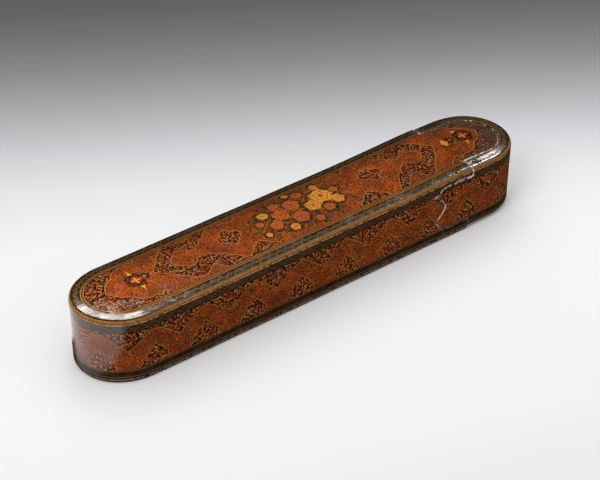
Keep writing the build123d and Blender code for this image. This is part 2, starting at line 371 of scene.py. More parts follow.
def tongue_line(growth):
    """The edge of the case's tongue in plan: straight sides and a half ellipse at the tip."""
    reach, side = TONGUE_TIP + growth, TONGUE_SIDE + growth
    angle = np.linspace(-math.pi / 2, math.pi / 2, 80)
    tip = np.stack([TONGUE_SHOULDER + reach * np.cos(angle), side * np.sin(angle)], axis=1)
    run = np.linspace(TONGUE_ROOT, TONGUE_SHOULDER, 40)[:-1, None]
    near = np.hstack([run, np.full_like(run, -side)])
    return np.concatenate([near, tip, (near * (1, -1))[::-1]])


print("the side joint has", len(side_joint()), "corners and arc points")

# %% [markdown]
# ## Cutting shapes
# The maker shapes the closed box whole and then cuts it apart along the joint. We do the same: a
# joint line becomes a solid when it is stacked as rings of points, and a Boolean modifier cuts the
# shells with it. The case and the head are each cut by their own solid, a gap apart. A cut mesh
# stays closed only if the cutter is closed too, so every stack has a face over each end.

# %% Cutting solids
CUTTER_END, CUTTER_SIDE, JOINT_STEP = 160.0, 30.0, 0.4


def stack(name, rings):
    """A closed solid from equal rings of 3-D points, with a flat face over each end."""
    count = len(rings[0])
    points = np.concatenate(rings)
    quads = grid_quads(len(rings), count).tolist()
    caps = [list(range(count))[::-1], list(range(len(points) - count, len(points)))]
    return mesh_from(name, points, quads + caps, merge=False)


def head_side_solid(name, distance, seeds, depth):
    """All that lies past the joint line, as two solids that meet on the middle plane.

    Each half has its own chips. The line is moved sideways by the distance first.
    """
    made = []
    corners = [(CUTTER_END, -BEYOND), (CUTTER_END, HEIGHT + BEYOND)]
    for side, seed in zip((-1, 1), seeds):
        line = resampled(moved(side_joint(), distance), JOINT_STEP)
        ring = np.concatenate([chipped(line, seed, depth), corners])
        rings = [np.stack([ring[:, 0], np.full(len(ring), y), ring[:, 1]], axis=1)
                 for y in (0.0, side * CUTTER_SIDE)]
        made.append(stack(f"{name}_{side}", rings))
    return made


def tongue_solid(name, section, seed, depth):
    """A solid in the shape of the tongue, from rows of its edge's growth and height."""
    rings = []
    for growth, height in section:
        line = chipped(tongue_line(growth), seed, depth)
        rings.append(np.column_stack([line, np.full(len(line), height)]))
    return stack(name, rings)


def cut(piece, cutters, operation="DIFFERENCE"):
    """Cuts the piece with each solid in turn, removes the solids and returns the piece."""
    for cutter in cutters:
        modifier = piece.modifiers.new("cut", "BOOLEAN")
        modifier.operation = operation
        modifier.solver = "MANIFOLD"
        modifier.object = cutter
    bpy.context.view_layer.update()
    evaluated = piece.evaluated_get(bpy.context.evaluated_depsgraph_get())
    done = bpy.data.meshes.new_from_object(evaluated)
    piece.modifiers.clear()
    piece.data = done
    for cutter in cutters:
        bpy.data.objects.remove(cutter)
    return piece


print("a cutter of the sides runs from the joint to", CUTTER_END, "mm")

# %% [markdown]
# ## The painted case
# The case is a closed shell less its cavity and less the drawer head's share of the box, from
# which the tongue is left out, so that the tongue stays on the case. Cutting solids from solids
# leaves true walls, which look right when the drawer is pulled out. The tongue steps in below, to
# lap over a ledge inside the head's rim, and its upper edge is rubbed to a slope.

# %% Cut the case
WALL, FLOOR_TOP, CEILING, LAP, LAP_HEIGHT = 2.6, 2.4, 28.6, 1.2, 29.5
CAVITY_BEVEL = 2.0
TONGUE_SECTION = [(-LAP, CEILING - 0.4), (-LAP, LAP_HEIGHT), (0, LAP_HEIGHT), (0, HEIGHT - 0.3),
                  (-1.6, HEIGHT + 1.3)]
CHIP_DEPTH = 0.10


def cavity_profile(inset, base, top, bevel):
    """Rows of a plain inner solid with a bevel round its underside."""
    middle = np.linspace(MEDIAL, inset + bevel, 3)
    rows = [(v, base) for v in middle] + [(inset, base + bevel)]
    rows += [(inset, z) for z in np.linspace(base + bevel, top, 8)[1:]]
    return rows + [(v, top) for v in np.linspace(inset, MEDIAL, 4)[1:]]


case = shell("case_shell_painted", outer_profile(0, HEIGHT), FINE)
cavity = shell("cavity", cavity_profile(WALL, FLOOR_TOP, CEILING, CAVITY_BEVEL), COARSE)
share = head_side_solid("share", -GAP, (11, 12), -CHIP_DEPTH)
for half in share:
    cut(half, [tongue_solid("tongue", TONGUE_SECTION, 13, CHIP_DEPTH)])
cut(case, [cavity, *share])
print("case:", len(case.data.polygons), "faces")

# %% [markdown]
# ## The painted head of the drawer
# The head starts as a shell a little lower than the case's and a little raised at its foot, so
# the drawer slides freely. Only what lies past the joint line is kept, one half at a time, because
# each side has its own chips. From that the room for the tray is cut, and the room for the tongue
# in two steps, which leaves the ledge that the tongue lies on.

# %% Cut the drawer's head
HEAD_BASE, HEAD_TOP = 1.2, 31.4
SLIDE_GAP, TRAY_TOP = 0.3, 28.2
LEDGE_SECTION = [(GAP - LAP, TRAY_TOP - 1), (GAP - LAP, HEIGHT + 4)]
RIM_SECTION = [(GAP, LAP_HEIGHT - GAP), (GAP, HEAD_TOP - 0.4), (GAP + 1.8, HEAD_TOP + 1.4)]
LEDGE_CHIP_DEPTH = 0.04
head = shell("drawer_head_painted", outer_profile(HEAD_BASE, HEAD_TOP), FINE)
keep = head_side_solid("keep", 0.0, (14, 15), CHIP_DEPTH)
blank = shell("blank", cavity_profile(WALL + SLIDE_GAP, FLOOR_TOP + SLIDE_GAP, TRAY_TOP,
                                      CAVITY_BEVEL), COARSE)
lower = tongue_solid("lower", LEDGE_SECTION, 16, -LEDGE_CHIP_DEPTH)
upper = tongue_solid("upper", RIM_SECTION, 17, -CHIP_DEPTH)
halves = []
for half in keep:
    piece = head.copy()
    piece.data = head.data.copy()
    scene.collection.objects.link(piece)
    halves.append(cut(piece, [half], "INTERSECT"))
bpy.data.objects.remove(head)
head = halves[0]
cut(head, [halves[1]], "UNION")
cut(head, [blank, lower, upper])
head.name = "drawer_head_painted"
print("head:", len(head.data.polygons), "faces")
for name, piece in (("case_shell", case), ("drawer_head", head)):
    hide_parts(name)
    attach(piece, frame["nodes"][name]["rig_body"])

# %% [markdown]
# ## Measuring the shells for the painter
# A painter lays out a pen box with ruled borders, then fills fields with small repeated work. The
# shaders need to know where on the box they are, so each vertex gets two lengths: how far it
# lies round the box from the left tip, and how far from the rim, counted inwards over the top and
# downwards over the wall. Every painted line is then only a range of the second number, and the
# first carries the pattern along the walls.

# %% Lengths round the box and away from the rim
RIM_QUARTER = TOP_ROUND * math.pi / 4


def points_of(piece):
    """The piece's vertices as an array in millimetres."""
    flat = np.empty(len(piece.data.vertices) * 3)
    piece.data.vertices.foreach_get("co", flat)
    return flat.reshape(-1, 3) / MM


def girth_of(inset, height, top):
    """The length over the surface from the middle of the rounded rim, negative down the wall.

    Round the rim it is the angle about the rounding's centre times its radius. Above and below
    it is a plain inset or height.
    """
    centre = top - CROWN - TOP_ROUND
    angle = np.arctan2(height - centre, TOP_ROUND - inset)
    rim = np.clip(angle - math.pi / 4, -math.pi / 4, math.pi / 4) * TOP_ROUND
    girth = np.where(height < centre, height - centre - RIM_QUARTER, rim)
    return np.where((inset > TOP_ROUND) & (height > centre), inset - TOP_ROUND + RIM_QUARTER, girth)


def store(piece, name, values, kind="FLOAT"):
    """Keeps one number or vector per vertex under a name that shaders can read."""
    attribute = piece.data.attributes.new(name, kind, "POINT")
    field = "value" if kind == "FLOAT" else "vector"
    attribute.data.foreach_set(field, np.asarray(values, np.float32).ravel())


print("half way round the rim is", round(RIM_QUARTER, 2), "mm")

# %% [markdown]
# ## The big motifs
# The field of the top is broken by dark areas full of small flowers: a lobed medallion stands
# free of the dark left end, a cusped band points left, and both come back reversed towards the
# drawer. Half motifs stand on the border as broad dark outlines, and two small foils of four
# petals lie between. Each motif is a polygon drawn for one side of the middle line and used on
# both. A vertex keeps its distance from the nearest outline, negative inside, because that stays
# crisp when a shader cuts it at zero.

# %% Distances to motifs
def to_polygon(x, y, polygon):
    """Signed distance of each point from a closed polygon, negative inside.

    The distance is the least over the edges, each measured at the nearest point of the edge. The
    sign comes from counting how many edges a ray from the point crosses.
    """
    start = np.asarray(polygon, float)
    edge = np.roll(start, -1, axis=0) - start
    from_x, from_y = x[:, None] - start[:, 0], y[:, None] - start[:, 1]
    share = (from_x * edge[:, 0] + from_y * edge[:, 1]) / (edge**2).sum(1)
    share = np.clip(share, 0, 1)
    distance = np.hypot(from_x - share * edge[:, 0], from_y - share * edge[:, 1]).min(1)
    end_y = start[:, 1] + edge[:, 1]
    spans = (start[:, 1] > y[:, None]) != (end_y > y[:, None])
    slope = edge[:, 0] / np.where(edge[:, 1] == 0, 1e-9, edge[:, 1])
    crossed = spans & (from_x < slope * from_y)
    return np.where(crossed.sum(1) % 2 == 1, -distance, distance)


def to_petals(x, y, centres, radius):
    """Signed distance from a set of equal circles that overlap like petals."""
    return np.min([np.hypot(x - cx, y - cy) - radius for cx, cy in centres], axis=0)


FAR_FROM_ALL, BORDER_AT, SOLID, MARGIN = 6.0, 18, 50, 3
END = [(-98.4, 0), (-96.6, 3.2), (-94.8, 5.6), (-92.6, 6.9), (-91.0, 7.3), (-90.2, 9.0),
       (-88.0, 11.2), (-85.0, 12.3), (-82.0, 12.2), (-80.2, 13.0), (-79.0, 15.5), (-78.0, 18),
       (-95, 19), (-108, 16), (-114, 0)]
LEFT_BAND = [(-74.8, 0), (-72.5, 2.5), (-69.9, 4.6), (-67.9, 7.6), (-65.2, 9.8), (-62.7, 12.3),
             (-60.1, 13.3), (-57.4, 13.5), (-55.1, 12.3), (-53.5, 10.9), (-51.6, 10.3),
             (-50.3, 11.6), (-48.9, 13.4), (-47.0, 15.5), (-44.6, 18), (-36.4, 18), (-38.2, 15.5),
             (-40.7, 11.8), (-43.6, 9.6), (-44.8, 7.8), (-47.6, 6.6), (-49.0, 4.6), (-51.2, 3.9),
             (-52.8, 1.9), (-54.9, 3.6), (-56.6, 5.6), (-58.7, 6.7), (-61.2, 5.6), (-63.0, 4.0),
             (-64.9, 2.6), (-66.0, 0)]
RIGHT_BAND = [(75.2, 0), (73.4, 2.6), (71.4, 5.0), (69.6, 8.0), (67.0, 10.2), (65.4, 12.6),
              (63.9, 14.8), (63.0, 18), (58.8, 18), (58.4, 14.0), (57.2, 11.4), (54.6, 9.6),
              (52.6, 11.2),
              (50.6, 13.4), (48.6, 15.2), (46.6, 18), (42.8, 18), (45.0, 14.0), (47.4, 10.4),
              (48.8, 8.2), (51.6, 6.8), (52.8, 4.6), (55.0, 3.9), (56.4, 1.9), (58.4, 3.6),
              (60.0, 5.2), (62.0, 5.9), (64.2, 5.0), (66.0, 3.4), (67.2, 1.8), (67.8, 0)]
HALF_MOTIF = [(-8.2, 18), (-7.0, 14.6), (-4.6, 13.2), (-3.6, 11.7), (-1.8, 11.0), (0, 9.2),
              (1.6, 10.9), (3.0, 11.5), (4.0, 13.0), (6.2, 14.4), (8.0, 18)]
SMALL_MOTIF = [(px * 0.6, BORDER_AT - (BORDER_AT - py) * 0.7) for px, py in HALF_MOTIF]
HALF_MOTIFS_AT, HALF_MOTIF_BREADTH = (-28.4, 30.0), 2.9
SMALL_MOTIFS_AT, SMALL_MOTIF_BREADTH = (-77.6, 77.4), 2.0
END_SHIFT, FOILS_AT = 0.9, (-36.2, 39.2)
FOIL_REACH, FOIL_PETAL, FOIL_HEART = 3.05, 2.35, 2.2
AXIS = [(-90, 0.4), (-60, 1.1), (-36, 1.9), (39, 2.6), (75, 2.3), (100, 1.0)]


def axis_of(x):
    """The height of the pattern's middle line along the box, which was set out by eye."""
    return np.interp(x, *zip(*AXIS))


def dark_on_top(x, y):
    """Signed distance, on the top, from the dark flowered areas.

    A motif of some breadth keeps only that much inside its outline. Each polygon is measured from
    the points within a few millimetres of its length.
    """
    y = np.abs(y - axis_of(x))
    near = np.full(len(x), FAR_FROM_ALL)
    placed = [(END, x, SOLID), (END, END_SHIFT - x, SOLID), (LEFT_BAND, x, SOLID),
              (RIGHT_BAND, x, SOLID)]
    placed += [(HALF_MOTIF, x - at, HALF_MOTIF_BREADTH) for at in HALF_MOTIFS_AT]
    placed += [(SMALL_MOTIF, x - at, SMALL_MOTIF_BREADTH) for at in SMALL_MOTIFS_AT]
    for polygon, local, breadth in placed:
        along = [px for px, _ in polygon]
        inside = (local > min(along) - MARGIN) & (local < max(along) + MARGIN)
        some = to_polygon(local[inside], y[inside], polygon)
        near[inside] = np.minimum(near[inside], np.maximum(some, -breadth - some))
    for middle in FOILS_AT:
        petals = [(middle + FOIL_REACH * math.cos(a), FOIL_REACH * math.sin(a))
                  for a in np.arange(4) * math.pi / 2]
        near = np.minimum(near, to_petals(x, y, petals, FOIL_PETAL))
        near = np.minimum(near, np.hypot(x - middle, y) - FOIL_HEART)
    return near


print("a half motif has", len(HALF_MOTIF), "points and its outline is", HALF_MOTIF_BREADTH, "mm")

# %% [markdown]
# ## The zigzag on the walls
# The walls carry a zigzag band. Dark flowered triangles hang from the upper border and cusped
# ones stand on the lower, half a step apart. They were set out by eye, so their steps differ: a
# short table gives where each hanging triangle's tip falls round the box, and positions between
# are interpolated, which turns a length round the box into a count of triangles.

# %% Triangles round the walls
TIPS_AROUND = [0, 22.7, 46.7, 71.7, 95.6, 120.3, 144.4, 167.6, 188.3, 210.8, 248.1]
TIPS_COUNT = [0, 1, 2, 3, 4, 5, 6, 7, 8, 9, 10.5]
TRIANGLE_STEP = 24.0
HANGING = [(-14, -2), (-14, -6.3), (-12, -6.3), (-10.2, -6.6), (-8.8, -7.6), (-7.6, -8.0),
           (-6.4, -9.4), (-4.8, -10.2), (-3.8, -11.6), (-2.0, -12.6), (0, -14.4), (2.0, -12.6),
           (3.8, -11.6), (4.8, -10.2), (6.4, -9.4), (7.6, -8.0), (8.8, -7.6), (10.2, -6.6),
           (12, -6.3), (14, -6.3), (14, -2)]
STANDING = [(-7.4, -26), (-7.0, -23.4), (-5.6, -21.6), (-6.1, -20.4), (-4.2, -18.9), (-3.4, -17.0),
            (-1.7, -16.2), (0, -14.0), (1.7, -16.2), (3.4, -17.0), (4.2, -18.9), (6.1, -20.4),
            (5.6, -21.6), (7.0, -23.4), (7.4, -26)]


def dark_on_walls(around, girth):
    """Signed distance, on the walls, from the hanging and standing triangles."""
    count = np.interp(around, TIPS_AROUND, TIPS_COUNT)
    hanging = (count - np.round(count)) * TRIANGLE_STEP
    standing = (count - 0.5 - np.round(count - 0.5)) * TRIANGLE_STEP
    return np.minimum(to_polygon(hanging, girth, HANGING), to_polygon(standing, girth, STANDING))


print("the front wall has about", TIPS_COUNT[-1], "hanging triangles")

# %% [markdown]
# ## Flowers drawn one by one
# A few flowers are too large for a repeated pattern: two near either end of the top, and a loose
# spray of roses in the middle. A vertex keeps its place relative to the flower nearest to it, as a
# share of that flower's radius, and the flower's kind. The shader draws the petals from the
# direction and distance, so they are as sharp as the picture needs. Leaves, the bed of foliage
# under the roses and the gold fins are plain signed distances again.

# %% Flowers, leaves and gold
ROSE, BLOSSOM, CUSPED, STAR = 1, 2, 3, 4
END_FLOWERS = [(-83.4, 0.6, 4.9, CUSPED), (-79.2, 1.0, 2.5, STAR), (91.4, 1.3, 4.9, CUSPED),
               (84.4, 1.8, 2.5, STAR)]
SPRAY = [
    (12.4, 2.6, 5.6, ROSE), (5.4, -1.2, 4.0, ROSE), (-1.8, 4.8, 4.2, BLOSSOM),
    (-9.8, 1.2, 4.4, BLOSSOM), (-3.4, -4.4, 4.2, BLOSSOM), (17.2, -3.4, 3.0, ROSE),
    (10.6, -5.8, 2.8, BLOSSOM), (4.6, 9.8, 2.8, BLOSSOM), (-8.4, 8.6, 2.7, BLOSSOM),
    (-16.4, 5.2, 2.7, ROSE), (-15.6, -3.6, 3.1, BLOSSOM), (-9.6, -8.6, 2.4, ROSE),
    (2.8, -9.6, 2.3, BLOSSOM), (19.6, 3.4, 2.2, BLOSSOM), (-21.2, 0.6, 2.1, BLOSSOM),
    (14.2, 10.4, 2.0, ROSE), (0.4, 12.2, 1.7, ROSE), (-22.0, -7.0, 1.6, ROSE),
]
FLOWERS = END_FLOWERS + SPRAY
LEAVES = [
    (18.4, 8.0, 40, 4.8), (23.4, 0.2, -10, 4.2), (22.4, -5.4, -40, 4.0), (15.4, -8.2, -40, 4.4),
    (7.6, -10.2, -110, 3.8), (-3.6, -10.6, -120, 4.2), (-13.8, -8.6, -150, 4.2),
    (-19.4, -10.0, 215, 3.8), (-24.6, -3.2, 190, 4.2), (-22.4, 4.6, 160, 3.8),
    (-14.2, 9.4, 130, 4.2), (-4.0, 11.4, 100, 3.8), (9.4, 11.8, 60, 3.8), (19.2, 12.0, 30, 3.6),
    (-5.2, 13.4, 130, 3.2), (24.6, 5.6, 30, 3.4), (-26.6, 1.6, 170, 3.4), (12.4, -11.2, -70, 3.4),
]
FIN = [(-1.5, 4.4), (-0.5, 5.3), (0, 8.4), (0.5, 5.3), (1.5, 4.4)]
GOLD_LEAF = [(-1, 2.4), (0.4, 2.6), (1.4, 0.7), (2.2, 0), (-1, 0)]
GOLD_TIP = [(-1, 1.1), (0.35, 0.5), (1.4, -0.1), (-1, -0.1)]
LEFT_AXIS, RIGHT_AXIS, FIN_SLANT, FIN_ROOT = 0.6, 1.3, 0.35, 5
LEFT_FIN_X, RIGHT_FIN_X, GOLD_LEAF_X, GOLD_TIP_X = -83.4, 90.0, 80.9, -75.9
LEAF_THICKNESS = 0.21


def flower_frame(x, y):
    """For each point, its place in the nearest flower's own frame and that flower's kind.

    The second result is how much nearer that flower is than the next, so a dark line can part
    two that touch.
    """
    reach = np.stack([np.hypot(x - cx, y - cy) / r for cx, cy, r, _ in FLOWERS])
    nearest = np.array(FLOWERS)[reach.argmin(0)]
    frame_xy = [(x - nearest[:, 0]) / nearest[:, 2], (y - nearest[:, 1]) / nearest[:, 2]]
    two = np.partition(reach, 1, axis=0)
    return np.stack([*frame_xy, nearest[:, 3]], axis=1), two[1] - two[0]


def to_leaves(x, y):
    """Signed distance from the leaves, each the overlap of two equal circles.

    LEAVES gives each leaf's middle, its direction in degrees and its length.
    """
    near = np.full(len(x), FAR_FROM_ALL)
    for cx, cy, degrees, length in LEAVES:
        turn = math.radians(degrees)
        along = (x - cx) * math.cos(turn) + (y - cy) * math.sin(turn)
        across = np.abs((y - cy) * math.cos(turn) - (x - cx) * math.sin(turn))
        half, thick = length / 2, length * LEAF_THICKNESS
        radius = (half**2 + thick**2) / (2 * thick)
        near = np.minimum(near, np.hypot(along, across + radius - thick) - radius)
    return near


def to_bed(x, y):
    """Signed distance from the bed of foliage under the spray: circles round its flowers."""
    return np.min([np.hypot(x - cx, y - cy) - r for cx, cy, r, _ in SPRAY], axis=0)


def to_gold(x, y):
    """Signed distance from the gold fins, leaf and tip about the end flowers.

    The right fins slant: the further from the middle line, the further left they are.
    """
    left, right = np.abs(y - LEFT_AXIS), np.abs(y - RIGHT_AXIS)
    slanted = x - RIGHT_FIN_X + FIN_SLANT * (right - FIN_ROOT)
    return np.min([to_polygon(x - LEFT_FIN_X, left, FIN),
                   to_polygon(slanted, right, FIN),
                   to_polygon(np.abs(x - GOLD_LEAF_X), right, GOLD_LEAF),
                   to_polygon(np.abs(x - GOLD_TIP_X), left, GOLD_TIP)], axis=0)


print(len(FLOWERS), "large flowers and", len(LEAVES), "leaves")

# %% [markdown]
# ## Wear along the joint
# The edges that meet at the joint have lost their varnish and paint, down to the pale ground coat.
# On the walls a vertex keeps its distance from the joint line, and on the top the distance from
# the tongue's edge, so that the wear can be cut out of noise with a threshold that grows
# towards the edge.

# %% Store everything on the shells
FAR_FROM_LINE, TOP_FIELD, MOUTH_DEPTH, TONGUE_WEAR = 50.0, 4.6, 6.5, 1.3
FAR_SIDE_SHIFT = 31.0


def to_line(x, y, line):
    """Distance of each point from an open line."""
    near = np.full(len(x), FAR_FROM_LINE)
    for a, b in zip(line, line[1:]):
        edge = b - a
        share = np.clip(((x - a[0]) * edge[0] + (y - a[1]) * edge[1]) / (edge**2).sum(), 0, 1)
        near = np.minimum(near, np.hypot(x - a[0] - share * edge[0], y - a[1] - share * edge[1]))
    return near


def measure(piece, top):
    """Stores the lengths, distances, flower frames and the fine pattern's map on a shell."""
    x, y, z = points_of(piece).T
    around, inset = place_in_plan(x, y)
    girth = girth_of(inset, z, top)
    dark = np.where(girth > TOP_FIELD, dark_on_top(x, y), dark_on_walls(around, girth))
    side_wear = to_line(x, z, side_joint())
    top_wear = np.where(x < MOUTH_X - 1, FAR_FROM_LINE, to_line(x, y, tongue_line(0)))
    mouth = np.where(inset < MOUTH_DEPTH, np.abs(x - MOUTH_X), FAR_FROM_LINE)
    top_wear = np.minimum(top_wear * TONGUE_WEAR, mouth)
    store(piece, "girth", girth)
    store(piece, "dark", dark)
    store(piece, "gold", to_gold(x, y))
    store(piece, "leaf", to_leaves(x, y))
    store(piece, "bed", to_bed(x, y))
    store(piece, "worn", np.where(girth > 0, top_wear, side_wear))
    flower, parting = flower_frame(x, y)
    store(piece, "flower", flower, "FLOAT_VECTOR")
    store(piece, "parting", parting)
    return x, y, around, girth


def corner_values(piece, girth, on_field, elsewhere):
    """Picks, for each face corner, one of two per-vertex arrays, the same for a whole face.

    A face counts as part of the top's field if its corners' mean girth is past the border.
    """
    corners = np.empty(len(piece.data.loops), np.int64)
    piece.data.loops.foreach_get("vertex_index", corners)
    sizes = np.empty(len(piece.data.polygons), np.int64)
    piece.data.polygons.foreach_get("loop_total", sizes)
    face = np.repeat(np.arange(len(sizes)), sizes)
    starts = np.concatenate([[0], np.cumsum(sizes)[:-1]])
    mean_girth = np.add.reduceat(girth[corners], starts) / sizes
    return np.where(mean_girth[face][:, None] > TOP_FIELD, on_field[corners], elsewhere[corners])


def lay_map(piece, x, y, around, girth):
    """The map of the fine pattern: plain plan on the field, lengths round and up on the rest.

    The far side's lengths run the other way from elsewhere, so it doesn't repeat the near side.
    """
    layer = piece.data.uv_layers.new(name="pattern")
    wall = np.stack([np.where(y > 0, -around - FAR_SIDE_SHIFT, around), girth], axis=1)
    plan = np.stack([x, y], axis=1)
    values = corner_values(piece, girth, plan, wall)
    layer.uv.foreach_set("vector", values.astype(np.float32).ravel())


for piece, top in ((case, HEIGHT), (head, HEAD_TOP)):
    x, y, around, girth = measure(piece, top)
    lay_map(piece, x, y, around, girth)
    print(piece.name, "girth from", round(girth.min(), 1), "to", round(girth.max(), 1))

# %% [markdown]
# ## Which faces are painted
# After the cutting, some faces are painted outside, some are the raw cut edge of the paper layers
# and some the dark inner lacquer. A face belongs to the outside if it lies where the outer profile
# says the skin should be. Of the rest, those as deep as the cavity's walls are inside, and what
# lies between is raw edge.

# %% Sort the faces
PAINTED, RAW_EDGE, INSIDE = 0, 1, 2
SKIN, SLACK, ABOVE_BASE = 0.16, 0.05, 1.0
SHARP_ANGLE = math.radians(32)


def sort_faces(piece, base, top):
    """Gives each face its material number from where its middle lies against the outer skin."""
    count = len(piece.data.polygons)
    middle = np.empty(count * 3)
    piece.data.polygons.foreach_get("center", middle)
    x, y, z = middle.reshape(-1, 3).T / MM
    _, inset = place_in_plan(x, y)
    rows = np.array(outer_profile(base, top))
    off_skin = to_line(inset, z, rows)
    inner = (inset > WALL - SLACK) & (z < CEILING + SLACK) & (z > base + ABOVE_BASE)
    kind = np.where(off_skin < SKIN, PAINTED, np.where(inner, INSIDE, RAW_EDGE))
    piece.data.polygons.foreach_set("material_index", kind.astype(np.int32))
    piece.data.polygons.foreach_set("use_smooth", np.ones(count, bool))
    piece.data.set_sharp_from_angle(angle=SHARP_ANGLE)
    print(piece.name, "painted", int((kind == PAINTED).sum()), "raw", int((kind == RAW_EDGE).sum()),
          "inside", int((kind == INSIDE).sum()))


sort_faces(case, 0, HEIGHT)
sort_faces(head, HEAD_BASE, HEAD_TOP)

# %% [markdown]
# ## A warped mouth
# Old paper boxes warp. The rim of the case stands about a millimetre proud at its mouth, and all
# surfaces wander a little. Both are small moves of the finished vertices: a smooth rise towards
# the mouth for what lies above the joint, fading out up the dome, and sums of long waves.

# %% Warp and wander
MOUTH_LIFT, LIFT_FROM, LIFT_FULL = 0.95, 34, 79
TIP_FROM, TIP_FULL, TIP_EASED = 80, 104, 0.85
WALL_FIXED, WALL_LIFTED = 26.6, 29.0
DOME_TOP, DOME_FADE = HEIGHT + 1.05, 1.5
WAVE_LENGTHS, WAVE_HEIGHTS = (37, 31, 26), (0.03, 0.05, 0.05)


def smooth_step(value, low, high):
    """Zero below low, one above high, and a smooth cubic between."""
    share = np.clip((value - low) / (high - low), 0, 1)
    return share * share * (3 - 2 * share)


def waves(points, seed, length, count=5):
    """A sum of waves with random directions and phases, about one unit high."""
    random = np.random.default_rng(seed)
    directions = random.normal(size=(3, count))
    directions /= np.linalg.norm(directions, axis=0)
    phases = random.uniform(0, 2 * math.pi, count)
    return np.sin(points @ directions * (2 * math.pi / length) + phases).sum(1) / math.sqrt(count)


def move_points(piece, move):
    """Adds a move in millimetres to every vertex."""
    points = points_of(piece) + move
    piece.data.vertices.foreach_set("co", (points * MM).ravel())
    piece.data.update()


def wander(piece, seed):
    """Moves the vertices by a few hundredths of a millimetre, but never out of the CAD's box."""
    points = points_of(piece)
    move = np.stack([waves(points, seed + k, length) for k, length in enumerate(WAVE_LENGTHS)], 1)
    move_points(piece, move * WAVE_HEIGHTS)
    held = np.clip(points_of(piece), np.array(cad_low) / MM, np.array(cad_high) / MM)
    piece.data.vertices.foreach_set("co", (held * MM).ravel())


x, _, z = points_of(case).T
rise = smooth_step(x, LIFT_FROM, LIFT_FULL) * (1 - TIP_EASED * smooth_step(x, TIP_FROM, TIP_FULL))
lift = MOUTH_LIFT * rise * smooth_step(z, WALL_FIXED, WALL_LIFTED)
lift *= np.clip((DOME_TOP - z) / DOME_FADE, 0, 1)
move_points(case, np.stack([0 * lift, 0 * lift, lift], axis=1))
wander(case, 21)
wander(head, 41)
print("the mouth stands", round(float(lift.max()), 2), "mm proud")

# %% [markdown]
# ## Building shaders
# A procedural material is a long sum of small choices, so a short helper keeps the recipes easy
# to read. Each method adds one node or a few and gives back their output, and anything passed in
# may be a number, a colour or another node's output. This first half of the helper holds the
# plain parts: arithmetic, a point's place, and the two random textures, noise and cells.

# %% Nodes and arithmetic
class Nodes:
    """Adds nodes to one material. A method that works out a value returns its output socket."""

    def __init__(self, name):
        self.material = bpy.data.materials.new(name)
        self.material.use_nodes = True
        self.tree = self.material.node_tree
        self.tree.nodes.clear()

    def node(self, kind, inputs=(), **settings):
        """One node with its settings and inputs, each input a value or another output."""
        made = self.tree.nodes.new(kind)
        for key, value in settings.items():
            setattr(made, key, value)
        for key, value in dict(inputs).items():
            socket = made.inputs[key]
            if isinstance(value, bpy.types.NodeSocket):
                self.tree.links.new(value, socket)
            elif isinstance(value, (tuple, list)) and len(value) == 3 and socket.type == "RGBA":
                socket.default_value = (*value, 1.0)
            else:
                socket.default_value = value
        return made

    def math(self, operation, *values):
        """Arithmetic on one, two or three numbers."""
        return self.node("ShaderNodeMath", enumerate(values), operation=operation).outputs[0]

    def plus(self, a, b):
        """The sum of two numbers."""
        return self.math("ADD", a, b)

    def minus(self, a, b):
        """The first number less the second."""
        return self.math("SUBTRACT", a, b)

    def times(self, a, b):
        """The product of two numbers."""
        return self.math("MULTIPLY", a, b)

    def split(self, vector):
        """A vector's three parts."""
        return self.node("ShaderNodeSeparateXYZ", {0: vector}).outputs

    def vector(self, operation, a, b):
        """Arithmetic on two vectors, or on a vector and a number where it is scaled."""
        inputs = {0: a, "Scale" if operation == "SCALE" else 1: b}
        return self.node("ShaderNodeVectorMath", inputs, operation=operation).outputs[0]

    def stored(self, name, output="Fac"):
        """What a vertex keeps under that name."""
        return self.node("ShaderNodeAttribute", attribute_name=name).outputs[output]

    def place(self):
        """The point's place on its object, in metres."""
        return self.node("ShaderNodeTexCoord").outputs["Object"]

    def pattern_map(self):
        """The point's place on the fine pattern's map, in millimetres."""
        return self.node("ShaderNodeUVMap", uv_map="pattern").outputs[0]

    def noise(self, vector, scale, detail=2.0, roughness=0.5):
        """Smooth noise around one half."""
        inputs = {"Vector": vector, "Scale": scale, "Detail": detail, "Roughness": roughness}
        return self.node("ShaderNodeTexNoise", inputs).outputs["Fac"]

    def cells(self, vector, scale, spread=1.0, feature="F1", dimensions="2D"):
        """A field of random cells: gives the node, for its distance, colour and cell middle."""
        inputs = {"Vector": vector, "Scale": scale, "Randomness": spread}
        return self.node("ShaderNodeTexVoronoi", inputs, voronoi_dimensions=dimensions,
                         feature=feature)


print("plain parts:", [name for name in vars(Nodes) if not name.startswith("_")])

# %% [markdown]
# ## Masks and layers
# Two ideas carry all the painting here. A mask is one where a number lies in a range, and zero
# elsewhere, so masks combine by products and maxima. A layer lays a colour over what is below it,
# as much as a mask says, in the order in which a painter lays them.

